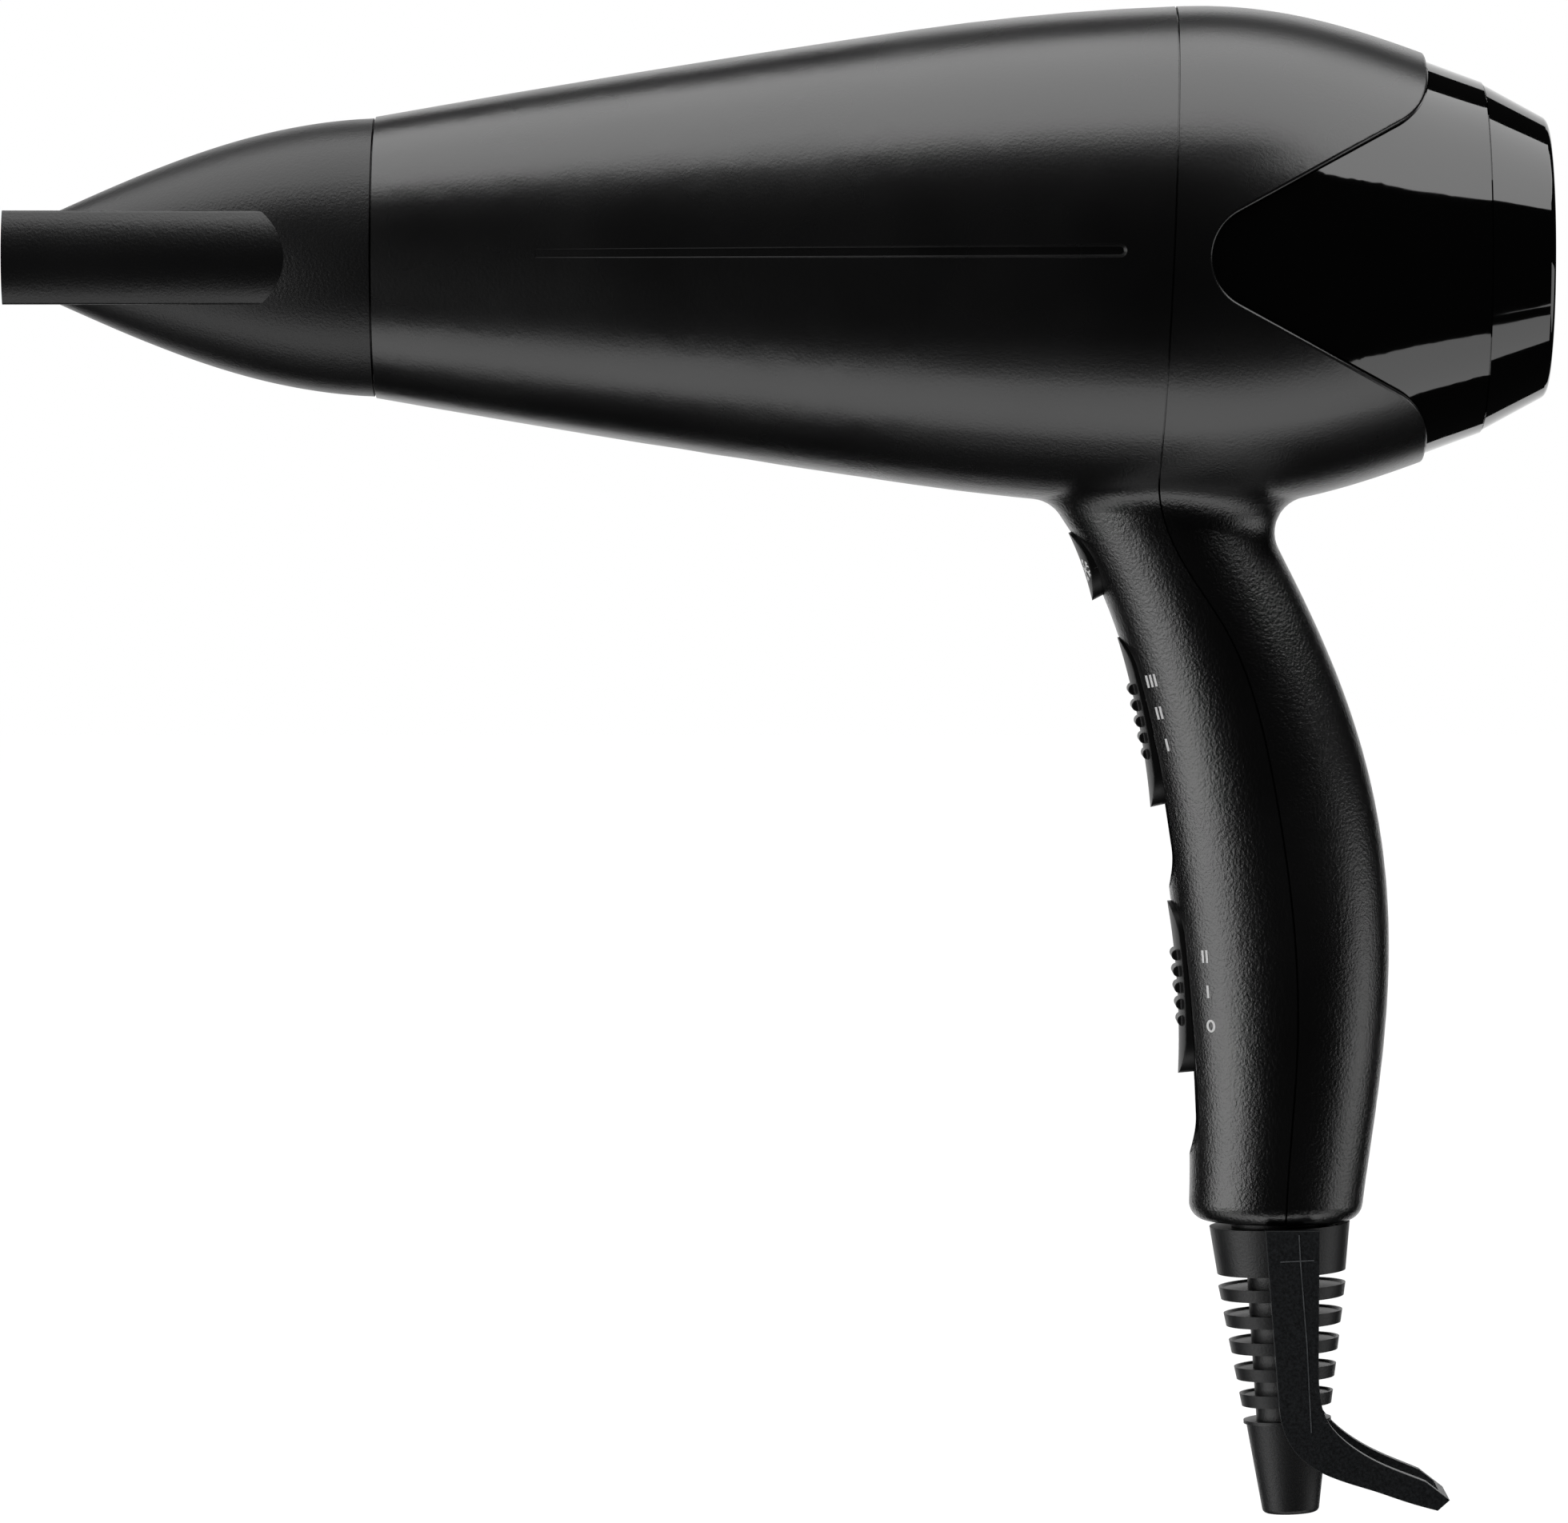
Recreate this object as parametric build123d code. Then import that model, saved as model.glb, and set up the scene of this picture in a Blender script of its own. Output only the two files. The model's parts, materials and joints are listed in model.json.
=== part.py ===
from build123d import *
import os
from math import cos, radians, sin

# Hair dryer with a housing split into front and back mouldings.
# Millimetres. The origin is the middle of the hand grip, +X runs towards the air
# intake, -X towards the nozzle and +Z up. The barrel is turned about a line along X.

# Barrel
AXIS_Z = 113.0
OUTLET_X = -163.5
OUTLET_R = 25.5
WAIST_X = -66.0
WAIST_R = 41.2
BARREL_BOW = 0.4
CROWN_X = -17.0
CROWN_R = 45.5
TAIL_X = 36.5
TAIL_R = 33.1
TAIL_SLOPE = -0.36
WALL = 2.4
JOINT_FILLET = 6.5

# Hand grip: axis points and oval sections from the barrel down to the heel
NECK_X, NECK_DROP, NECK_DEPTH, NECK_WIDTH = -32.4, 26.0, 38.0, 31.0
THROAT_X, THROAT_Z, THROAT_DEPTH, THROAT_WIDTH = -11.6, 46.0, 34.0, 32.0
PALM_X, PALM_Z, PALM_DEPTH, PALM_WIDTH = -2.9, 18.0, 38.6, 33.0
WRIST_X, WRIST_Z, WRIST_DEPTH, WRIST_WIDTH = 1.5, -29.0, 36.4, 32.0
HEEL_X, HEEL_Z, HEEL_DEPTH, HEEL_WIDTH = -0.5, -65.2, 31.2, 29.3
HEEL_TRIM = 3.0
HEEL_FILLET = 3.4

# Parting between the mouldings: an open hairline outside, a lap joint inside
PART_TOP_X = -16.8
PART_FOOT_X = -22.3
PART_FOOT_DROP = 37.5
PART_SETBACK = 1.6
PART_GAP = 0.35
LAP = 2.6
LAP_CLEAR = 0.1

# V-shaped notch in each side of the rear moulding, and the rear edge above it
NOTCH_TIP_X = -24.1
NOTCH_ANGLE = 28.4
NOTCH_TIP_R = 9.2
NOTCH_LIP_R = 0.6
NOTCH_SHOULDER_R = 11.0
REAR_EDGE_X = 26.0

# Shallow flute in each side of the barrel
FLUTE_FRONT_X = -134.0
FLUTE_WAY_X = -100.0
FLUTE_SHOULDER_X = -48.0
FLUTE_SHOULDER_R = 43.43
FLUTE_REAR_X = -30.3
FLUTE_REAR_R = 44.9
FLUTE_FRONT_HEIGHT = 1.5
FLUTE_REAR_HEIGHT = 2.5
FLUTE_FRONT_DEPTH = 0.05
FLUTE_DEPTH = 0.75
FLUTE_WALL_RUN = 0.7
FLUTE_OVER = 1.0

# Gloss intake shroud and filter cap
SHROUD_STEP = 1.3
SHROUD_WALL = 1.8
SHROUD_FLANGE = 3.0
SHROUD_FLANGE_DROP = 0.6
EDGE_CLEAR = 0.25
CAP_GAP = 0.3
CAP_STEP = 0.45
CAP_END_X = 48.5
CAP_END_R = 25.0
CAP_CORNER_R = 1.8
CAP_WALL = 1.8
CAP_SPIGOT = 6.0
CAP_SPIGOT_CLEAR = 0.3
CAP_LIP_INSET = 1.6
GRILLE_BARS = 5
GRILLE_SPOKES = 8
GRILLE_BAR_W = 1.5
GRILLE_DEPTH = 1.8
GRILLE_RECESS = 0.5
GRILLE_LAP = 0.8
MESH_T = 0.4
MESH_CLEAR = 0.1
MESH_EDGE_CLEAR = 0.3

# Concentrator nozzle
SEAT_LENGTH = 12.0
BORE_R = 22.9
NOZZLE_GAP = 0.4
NOZZLE_CLEAR = 0.25
NOZZLE_SPIGOT = 9.0
NOZZLE_WALL = 1.8
NOZZLE_BASE_R = 25.2
NOZZLE_BASE_SLOPE = -0.04
NOZZLE_FACE_INSET = 0.4
NOZZLE_MID_X = -196.3
NOZZLE_MID_R = 18.7
NOZZLE_NOSE_X = -221.5
NOZZLE_NOSE_SLOPE = -0.45
NOZZLE_NOSE_INSET = 0.1
NOZZLE_TIP_X = -229.2
SLOT_ROOT_X = -172.0
SLOT_ROOT_HALF = 22.3
SLOT_TIP_HALF = 31.0
SLOT_HEIGHT = 16.8
SLOT_SIDE_BULGE = 3.2
SLOT_EDGE_R = 1.0

# Heater
OUTLET_GRILLE_T = 2.0
OUTLET_RIM = 2.0
OUTLET_RINGS = 3
OUTLET_RING_FIRST_R = 4.0
OUTLET_RING_PITCH = 6.0
OUTLET_BARS = 8
OUTLET_BAR_W = 1.4
LINER_T = 0.7
LINER_FRONT_R = 24.3
BOARD_T = 0.8
BOARD_REAR_X = -62.0
BOARD_CLEAR = 0.3
BOARD_LAP_CLEAR = 0.1
COIL_TURNS = 9
COIL_FRONT_X = -140.0
COIL_PITCH = 6.6
COIL_INSET = 3.5
RIBBON_W = 1.5
RIBBON_T = 0.6
RIBBON_CLEAR = 0.2
RIBBON_SEAT = 0.5
THERMOSTAT_L = 12.0
THERMOSTAT_W = 8.0
THERMOSTAT_H = 4.0
THERMOSTAT_Y = 9.0
THERMOSTAT_EDGE = 1.0
THERMOSTAT_BLADE_L = 9.0
THERMOSTAT_BLADE_T = 0.6
FUSE_R = 2.0
FUSE_L = 10.0
FUSE_LEAD_R = 0.5

# Fan and motor
DUCT_FRONT_X = -38.0
DUCT_REAR_X = 20.0
DUCT_R = 32.5
DUCT_T = 1.3
DUCT_FLANGE_X = -31.0
DUCT_FLANGE_T = 2.0
DUCT_FLANGE_CLEAR = 1.2
DUCT_SCREW_R = 37.6
DUCT_SCREWS = 3
DUCT_SCREW_L = 9.0
DUCT_HOLE_L = 11.0
SCREW_R = 1.5
SCREW_HEAD_R = 2.8
SCREW_HEAD_H = 1.8
BOSS_R = 3.4
BOSS_L = 15.0
BOSS_WEB = 8.0
VANES = 7
VANE_T = 1.3
VANE_TWIST = 14.0
VANE_SETBACK = 4.0
CUP_T = 1.3
CUP_SETBACK = 2.0
CUP_HOLE_CLEAR = 1.5
CUSHION_T = 1.4
CUSHION_FRONT_GAP = 8.0
CUSHION_REAR_GAP = 4.0
MOTOR_R = 14.3
MOTOR_FRONT_X = -44.0
MOTOR_REAR_X = -8.0
MOTOR_EDGE_R = 1.5
END_BELL_L = 5.0
END_BELL_INSET = 0.6
END_POCKET = 3.0
TERMINAL_L = 3.0
TERMINAL_H = 2.4
TERMINAL_SINK = 0.8
RECTIFIER_T = 1.4
RECTIFIER_INSET = 3.5
DIODES = 4
DIODE_L = 5.0
DIODE_T = 2.8
DIODE_R = 6.5
DIODE_SINK = 0.2
BUSH_R = 3.2
BUSH_L = 4.0
BUSH_FIT = 0.02
SHAFT_R = 1.15
SHAFT_FRONT = 2.5
SHAFT_FIT = 0.05
SLIDE_FIT = 0.15
RUNNING_GAP = 0.6
HUB_R = 9.5
HUB_FRONT_X = -3.4
HUB_REAR_X = 12.0
HUB_CAP_T = 3.0
HUB_DOME_R = 4.0
HUB_FIT = 0.01
BLADES = 9
BLADE_T = 1.2
BLADE_ROOT_PITCH = 34.0
BLADE_TIP_PITCH = 62.0
BLADE_ROOT_CHORD = 13.2
BLADE_TIP_CHORD = 16.2
BLADE_SINK = 2.5

# Slide controls and the cold-air button, placed along the grip's front line
HEAT_PLACE = 0.368
SPEED_PLACE = 0.70
KNOB_L = 31.5
KNOB_W = 12.4
KNOB_TRAVEL = 12.0
KNOB_RISE_TOP = 1.1
KNOB_RISE_MID = 0.6
KNOB_RISE_END = 1.9
KNOB_SAG = 1.1
KNOB_CLEAR = 0.3
KNOB_RIBS = 5
KNOB_RIB_PITCH = 3.0
KNOB_RIB_R = 1.0
KNOB_RIB_L = 8.4
KNOB_RIB_RISE = 0.7
TROUGH_DEPTH = 1.7
TROUGH_RAMP = 2.5
TROUGH_END_R = 4.0
TROUGH_HEAD_LEAN = 0.8
TROUGH_FOOT_RUN = 6.0
TROUGH_FOOT_RISE = 4.5
STEM_L = 6.0
STEM_W = 3.6
PAD_T = 2.2
PAD_END = 0.4
SHUTTER_T = 0.8
SHUTTER_LAP = 0.6
SHUTTER_W = 8.4
RAIL_W = 2.2
SWITCH_L = 27.0
SWITCH_H = 8.0
SWITCH_END_CLEAR = 0.5
SWITCH_TABS = 4
SWITCH_TAB_PITCH = 6.0
SWITCH_TAB_L = 4.0
SWITCH_TAB_W = 3.0
SWITCH_TAB_T = 0.8
PEG_L = 3.0
PEG_W = 2.4
PEG_H = 3.0
BUTTON_PLACE = 0.162
BUTTON_L = 12.9
BUTTON_W = 11.0
BUTTON_RISE_TOP = 0.4
BUTTON_RISE_MID = 0.95
BUTTON_RISE_END = 2.4
BUTTON_SAG = 1.2
BUTTON_TRAVEL = 2.5
BUTTON_CLEAR = 0.3
BUTTON_SKIRT = 5.2
BUTTON_FLANGE = 1.2
BUTTON_FLANGE_T = 1.2
BUTTON_HOLE_DEPTH = 7.0
PLUNGER_R = 1.6
PLUNGER_L = 7.0
COOL_SWITCH_L = 12.0
COOL_SWITCH_W = 10.0
COOL_SWITCH_H = 9.0
COOL_SWITCH_GAP = 1.0
COOL_BORE_DEPTH = 7.5
CONTROL_REACH = 12.0

# Cord boot, hanging loop and cord clamp at the heel
BOOT_TILT = 2.4
BOOT_OFFSET = 1.2
CORD_R = 3.6
BOOT_NECK_R = 8.8
BOOT_FLANGE_R = 10.6
BOOT_FLANGE_T = 2.4
BOOT_CLEAR = 0.7
COLLAR_L = 9.4
COLLAR_TOP_R = 12.8
COLLAR_END_R = 11.7
BOOT_DISCS = 5
DISC_FIRST = 12.9
DISC_PITCH = 4.92
DISC_T = 2.3
DISC_FIRST_R = 11.6
DISC_TAPER = 0.76
DISC_DISH = 0.4
DISC_LIP = 0.9
DISC_DRAFT = 0.4
BOOT_STEM_R = 6.3
BOOT_STEM_DRAFT = 0.7
TAIL_LIP_R = 8.0
TAIL_LIP_T = 0.6
TAIL_CONE_R = 7.5
TAIL_CONE_END_R = 5.1
TAIL_EDGE_R = 0.9
BOOT_L = 53.6
LOOP_ARM_T = 2.5
LOOP_TOP_HALF = 15.1
LOOP_BEND_HALF = 12.5
LOOP_TIP_HALF = 9.5
LOOP_CLEAR = 0.2
LOOP_MID_X = 3.0
LOOP_TONGUE = 4.0
LOOP_TONGUE_L = 2.0
LOOP_TONGUE_DROP = 5.0
LOOP_HEEL_GAP = 0.6
LOOP_FRONT_X = -2.6
LOOP_REAR_X = 7.2
LOOP_REAR_BEND_Z = -84.0
LOOP_FRONT_BEND = (0.1, 0, -95.0)
LOOP_SOLE = ((6.0, 0, -106.0), (17.6, 0, -110.6))
LOOP_TOE = (29.1, 0, -114.3)
LOOP_TIP = (31.3, 0, -112.4)
LOOP_HEEL = (26.9, 0, -109.0)
LOOP_INSTEP = ((17.5, 0, -105.0), (10.3, 0, -99.6))
LOOP_FRONT_RUN = (0.08, 0, -1)
LOOP_TOE_RUN = (1, 0, -0.26)
LOOP_HEEL_RUN = (-1, 0, 0.42)
LOOP_BEND_X = 8.0
LOOP_BEND_Z = -98.0
LOOP_LOW_Z = -125.0
LOOP_END_X = 33.5
LOOP_END_SHARE = 1.6
CLAMP_Z = -46.0
CLAMP_T = 4.0
CLAMP_W = 7.0
CLAMP_CORD_GAP = 1.0
CLAMP_SCREW_Y = 6.2
CLAMP_SCREW_L = 7.0
CLAMP_HOLE_SPARE = 0.5

# Fits shared by several pieces
HOLE_CLEAR = 0.2
SCREW_FIT = 0.05
RUN_IN = 0.5

SPAN = 400.0
NECK_Z = AXIS_Z - NECK_DROP
BARREL = Pos(0, 0, AXIS_Z)


def grip_sections():
    """Points on the grip's axis, each with the depth and width of its oval."""
    return (
        (Vector(NECK_X, 0, NECK_Z), NECK_DEPTH, NECK_WIDTH),
        (Vector(THROAT_X, 0, THROAT_Z), THROAT_DEPTH, THROAT_WIDTH),
        (Vector(PALM_X, 0, PALM_Z), PALM_DEPTH, PALM_WIDTH),
        (Vector(WRIST_X, 0, WRIST_Z), WRIST_DEPTH, WRIST_WIDTH),
        (Vector(HEEL_X, 0, HEEL_Z), HEEL_DEPTH, HEEL_WIDTH),
    )


def grip_axis():
    """Curve down the middle of the grip."""
    return Spline(*[point for point, _, _ in grip_sections()])


def section_plane(axis, point):
    """Plane square to the grip's axis, its x direction pointing to the front."""
    run = axis % axis.param_at_point(point)
    return Plane(origin=point, x_dir=Vector(0, 1, 0).cross(run), z_dir=run)


def front_line():
    """Curve down the front of the grip, through the foremost point of each oval."""
    axis = grip_axis()
    points = []
    for point, depth, _ in grip_sections():
        points.append(point + section_plane(axis, point).x_dir * (depth / 2))
    return Spline(*points)


def front_frame(place):
    """Frame on the grip's front line: x down the grip, z out of the surface."""
    line = front_line()
    run = line % place
    return Plane(origin=line @ place, x_dir=run, z_dir=Vector(0, 1, 0).cross(run))


def turned(*edges):
    """Solid turned about the barrel axis from edges in the XZ plane."""
    return revolve(make_face(edges), Axis.X)


def turned_outline(*points):
    """Solid turned about the barrel axis from a closed outline of (x, radius) points."""
    return revolve(make_face(Polyline(*[(x, 0, r) for x, r in points], close=True)), Axis.X)


def ring(x_front, x_rear, r_out, r_in=0.0):
    """Plain ring or disc about the barrel axis."""
    return turned_outline((x_front, r_in), (x_front, r_out), (x_rear, r_out), (x_rear, r_in))


def rod(x, y, z, radius, length):
    """Round bar along X, centred on a point."""
    return Pos(x, y, z) * Cylinder(radius, length, rotation=(0, 90, 0))


def around(shape, count):
    """Copies of a shape set evenly about the barrel axis."""
    copies = []
    for index in range(count):
        copies.append(shape.rotate(Axis.X, 360 * index / count))
    return copies


def barrel_solid(inset):
    """Barrel as a solid, its surface set in by a distance."""
    outlet = (OUTLET_X, 0, OUTLET_R - inset)
    crown = (CROWN_X, 0, CROWN_R - inset)
    tail = (TAIL_X, 0, TAIL_R - inset)
    waist = (WAIST_X, 0, WAIST_R - inset)
    middle = ((OUTLET_X + WAIST_X) / 2, 0, (OUTLET_R + WAIST_R) / 2 + BARREL_BOW - inset)
    taper = ThreePointArc(outlet, middle, waist)
    shoulder = TangentArc(waist, crown, tangent=taper % 1)
    rear = Spline(crown, tail, tangents=[shoulder % 1, (1, 0, TAIL_SLOPE)])
    base = Polyline(tail, (TAIL_X, 0, 0), (OUTLET_X, 0, 0), outlet)
    return turned(taper, shoulder, rear, base)


def below(height):
    """Everything lower than a height."""
    return Pos(0, 0, height - SPAN / 2) * Box(SPAN, SPAN, SPAN)


def grip_solid(inset):
    """Grip as a solid, its surface and heel set in by a distance."""
    axis = grip_axis()
    ovals = []
    for point, depth, width in grip_sections():
        ovals.append(section_plane(axis, point) * Ellipse(depth / 2 - inset, width / 2 - inset))
    return loft(ovals) - below(HEEL_Z + HEEL_TRIM + inset)


def body_solid(inset):
    """Barrel and grip together, with a sharp joint."""
    return BARREL * barrel_solid(inset) + grip_solid(inset)


def outer_body():
    """Outside of the housing with its joint and heel rounded."""
    grip = grip_solid(0)
    heel = grip.edges().group_by(Axis.Z)[0]
    body = BARREL * barrel_solid(0) + fillet(heel, HEEL_FILLET)
    low, high = AXIS_Z - CROWN_R - JOINT_FILLET, NECK_Z
    joint = body.edges().filter_by(lambda edge: low < edge.center().Z < high)
    return fillet(joint.filter_by(GeomType.BSPLINE), JOINT_FILLET)


def cavity():
    """Space inside the housing, with a straight bore at the outlet."""
    seat_end = OUTLET_X + SEAT_LENGTH
    hollow = barrel_solid(WALL) - ring(OUTLET_X - 1, seat_end, CROWN_R)
    hollow += ring(OUTLET_X - 1, seat_end + 1, BORE_R)
    return BARREL * hollow + grip_solid(WALL)


def front_region(shift):
    """Everything in front of the parting line, moved along X by a distance."""
    foot_z = AXIS_Z - PART_FOOT_DROP
    top = (PART_TOP_X, 0, AXIS_Z + 2 * CROWN_R)
    foot = (PART_FOOT_X, 0, foot_z)
    end = (HEEL_X + PART_SETBACK, 0, HEEL_Z)
    down = (HEEL_X + PART_SETBACK, 0, HEEL_Z - SPAN / 4)
    line = Line(top, foot)
    curve = Spline(
        foot,
        (THROAT_X + PART_SETBACK, 0, THROAT_Z),
        (PALM_X + PART_SETBACK, 0, PALM_Z),
        (WRIST_X + PART_SETBACK, 0, WRIST_Z),
        end,
        tangents=[line % 1, (0, 0, -1)],
    )
    frame = Polyline(end, down, (-SPAN, 0, down[2]), (-SPAN, 0, top[2]), top)
    return Pos(shift, 0, 0) * extrude(make_face([line, curve, frame]), SPAN / 2, both=True)


def notch_face():
    """Outline behind the rear moulding's edge: the notch and what lies behind it."""
    rise = (REAR_EDGE_X - NOTCH_TIP_X) * sin(radians(NOTCH_ANGLE)) / cos(radians(NOTCH_ANGLE))
    far = 2 * CROWN_R
    outline = Polyline(
        (NOTCH_TIP_X, 0),
        (REAR_EDGE_X, rise),
        (REAR_EDGE_X, far),
        (TAIL_X + far, far),
        (TAIL_X + far, -far),
        (REAR_EDGE_X, -far),
        (REAR_EDGE_X, -rise),
        close=True,
    )
    face = make_face(outline)
    tip = face.vertices().sort_by(Axis.X)[0]
    face = fillet(tip, NOTCH_TIP_R)
    shoulders = face.vertices().filter_by(lambda v: abs(abs(v.Y) - rise) < 0.01)
    return fillet(shoulders, NOTCH_SHOULDER_R)


def notch_region(grow):
    """The notch outline cut right through sideways, grown or shrunk by a distance."""
    face = offset(notch_face(), grow) if grow else notch_face()
    return extrude(Plane.XZ * face, SPAN / 4, both=True)


def taper_r(x):
    """Radius of the barrel's front taper at a place along it."""
    share = (x - OUTLET_X) / (WAIST_X - OUTLET_X)
    return OUTLET_R + (WAIST_R - OUTLET_R) * share + 4 * BARREL_BOW * share * (1 - share)


def flute_section(x, radius):
    """Cross-section of the side flute's cutter at a place on the barrel, with steep walls."""
    share = (x - FLUTE_FRONT_X) / (FLUTE_REAR_X - FLUTE_FRONT_X)
    height = FLUTE_FRONT_HEIGHT + (FLUTE_REAR_HEIGHT - FLUTE_FRONT_HEIGHT) * share
    depth = FLUTE_FRONT_DEPTH + (FLUTE_DEPTH - FLUTE_FRONT_DEPTH) * share
    inner, outer = depth * FLUTE_WALL_RUN, FLUTE_OVER * FLUTE_WALL_RUN
    floor_y, out_y = depth - radius, -radius - FLUTE_OVER
    outline = Polyline(
        (x, floor_y, inner),
        (x, floor_y, height - inner),
        (x, out_y, height + outer),
        (x, out_y, -outer),
        close=True,
    )
    return make_face(outline)


def flute():
    """Cutter for one side flute, level below, which runs out to nothing at the front."""
    sections = [flute_section(x, taper_r(x)) for x in (FLUTE_FRONT_X, FLUTE_WAY_X, WAIST_X)]
    sections.append(flute_section(FLUTE_SHOULDER_X, FLUTE_SHOULDER_R))
    sections.append(flute_section(FLUTE_REAR_X, FLUTE_REAR_R))
    half, thick = FLUTE_REAR_HEIGHT / 2, FLUTE_DEPTH + FLUTE_OVER
    tip_r, mouth_r = half - FLUTE_DEPTH * FLUTE_WALL_RUN, half + FLUTE_OVER * FLUTE_WALL_RUN
    end = Cone(tip_r, mouth_r, thick, rotation=(90, 0, 0))
    middle_y = -FLUTE_REAR_R - (FLUTE_OVER - FLUTE_DEPTH) / 2
    return loft(sections, ruled=True) + Pos(FLUTE_REAR_X, middle_y, half) * end


def local_box(x_min, x_max, width, z_min, z_max):
    """Box in a control's own frame, centred across the grip."""
    return Pos((x_min + x_max) / 2, 0, (z_min + z_max) / 2) * Box(x_max - x_min, width, z_max - z_min)


def slot_half_length():
    """Half length of the floor slot that a knob's stem runs in."""
    return (STEM_L + KNOB_TRAVEL) / 2 + KNOB_CLEAR


def floor_z():
    """Height of a trough's floor in a control's frame."""
    return -TROUGH_DEPTH


def pad_z():
    """Height of the inner face of the pad behind a trough."""
    return floor_z() - PAD_T


def rail_z():
    """Height of the rails that a switch body rests on."""
    return pad_z() - SHUTTER_T - 2 * KNOB_CLEAR


def shutter_half_length():
    """Half length of a shutter plate that always covers its slot."""
    return slot_half_length() + KNOB_TRAVEL / 2 + SHUTTER_LAP


def control_pad():
    """Pad and rails behind a slide control, in its own frame."""
    middle = KNOB_TRAVEL / 2
    reach = shutter_half_length() + KNOB_TRAVEL / 2 + PAD_END
    width = SHUTTER_W + 2 * KNOB_CLEAR + 2 * RAIL_W
    pad = local_box(middle - reach, middle + reach, width, pad_z(), floor_z() + RUN_IN)
    rails = local_box(middle - SWITCH_L / 2, middle + SWITCH_L / 2, width, rail_z(), pad_z())
    run = local_box(middle - reach, middle + reach, SHUTTER_W + 2 * KNOB_CLEAR, rail_z() - RUN_IN, pad_z())
    return pad + (rails - run)


def control_cut():
    """Trough and stem slot of a slide control, in its own frame."""
    head = -KNOB_L / 2 - KNOB_CLEAR
    foot = KNOB_L / 2 + KNOB_TRAVEL + 2 * KNOB_CLEAR
    outline = Polyline(
        (head, 0, floor_z()),
        (foot, 0, floor_z()),
        (foot + TROUGH_FOOT_RUN, 0, TROUGH_FOOT_RISE),
        (foot + TROUGH_FOOT_RUN, 0, CONTROL_REACH),
        (head - TROUGH_HEAD_LEAN, 0, CONTROL_REACH),
        close=True,
    )
    blank = extrude(make_face(outline), (KNOB_W + 2 * KNOB_CLEAR) / 2, both=True)
    floor_end = blank.edges().filter_by(Axis.Y).sort_by_distance((foot, 0, floor_z()))[0]
    blank = fillet(floor_end, TROUGH_END_R)
    length = foot + TROUGH_RAMP - head
    plan = Pos(head + length / 2, 0, floor_z()) * SlotOverall(length, KNOB_W + 2 * KNOB_CLEAR)
    middle = KNOB_TRAVEL / 2
    reach = slot_half_length()
    slot = local_box(middle - reach, middle + reach, STEM_W + 2 * KNOB_CLEAR, pad_z() - RUN_IN, 0)
    return (blank & extrude(plan, 2 * CONTROL_REACH)) + slot


def button_cut():
    """Hole for the cold-air button, in its own frame."""
    oval = Ellipse(BUTTON_L / 2 + BUTTON_CLEAR, BUTTON_W / 2 + BUTTON_CLEAR)
    return extrude(Pos(0, 0, -BUTTON_HOLE_DEPTH) * oval, BUTTON_HOLE_DEPTH + CONTROL_REACH)


def duct_boss():
    """One screw boss inside the front moulding, joined to its wall."""
    middle = DUCT_FLANGE_X - BOSS_L / 2
    post = rod(middle, 0, DUCT_SCREW_R, BOSS_R, BOSS_L)
    web = Pos(middle, 0, DUCT_SCREW_R + BOSS_WEB / 2) * Box(BOSS_L, 2 * BOSS_R, BOSS_WEB)
    return post + web - rod(DUCT_FLANGE_X, 0, DUCT_SCREW_R, SCREW_R, 2 * DUCT_HOLE_L)


def boot_plane():
    """Frame of the boot: z runs down along the cord from the heel."""
    lean = radians(BOOT_TILT)
    origin = Vector(HEEL_X + BOOT_OFFSET, 0, HEEL_Z + HEEL_TRIM)
    return Plane(origin=origin, x_dir=(cos(lean), 0, sin(lean)), z_dir=(sin(lean), 0, -cos(lean)))


def boot_hole():
    """Hole in the heel that the boot's neck passes through."""
    return boot_plane().location * Cylinder(BOOT_NECK_R + HOLE_CLEAR, 4 * WALL)


def front_housing(outer, hollow):
    """Front moulding: barrel, outlet seat, flutes, control troughs and inner bosses."""
    shell = outer & front_region(-PART_GAP / 2)
    lap = body_solid(WALL / 2) - front_region(-LAP)
    heat, speed, button = front_frame(HEAT_PLACE), front_frame(SPEED_PLACE), front_frame(BUTTON_PLACE)
    shell = shell - hollow - lap
    for frame in (heat, speed):
        shell += (frame.location * control_pad()) & outer & front_region(-LAP)
    bosses = [BARREL * boss for boss in around(duct_boss(), DUCT_SCREWS)]
    inside = BARREL * barrel_solid(WALL / 2)
    for boss in bosses:
        shell += boss & inside
    for frame in (heat, speed):
        shell -= frame.location * control_cut()
    shell -= button.location * button_cut()
    groove = BARREL * flute()
    shell -= groove
    shell -= groove.mirror(Plane.XZ)
    return shell - boot_hole()


def rear_housing(outer, hollow):
    """Rear moulding: barrel back with the notches, grip back and the clamp bosses."""
    notch = BARREL * notch_region(0)
    back = outer - front_region(PART_GAP / 2)
    notched = back - notch
    skin = fillet(new_edges(back, notch, combined=notched), NOTCH_LIP_R)
    tongue = body_solid(WALL / 2 + LAP_CLEAR) - front_region(-LAP + PART_GAP)
    shell = skin + tongue - hollow - notch
    for y in (CLAMP_SCREW_Y, -CLAMP_SCREW_Y):
        shell += clamp_boss(y) & body_solid(WALL / 2)
        shell -= clamp_hole(y)
    return shell - boot_hole()


def clamp_face_x():
    """Front face of the bosses that carry the cord clamp."""
    return HEEL_X + CORD_R + CLAMP_T + CLAMP_CORD_GAP


def clamp_boss(y):
    """One boss on the rear moulding for a clamp screw."""
    return rod(clamp_face_x() + HEEL_DEPTH / 2, y, CLAMP_Z, BOSS_R, HEEL_DEPTH)


def clamp_hole(y):
    """Pilot hole for one clamp screw."""
    depth = CLAMP_SCREW_L - CLAMP_T + CLAMP_HOLE_SPARE
    return rod(clamp_face_x(), y, CLAMP_Z, SCREW_R, 2 * depth)


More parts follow.
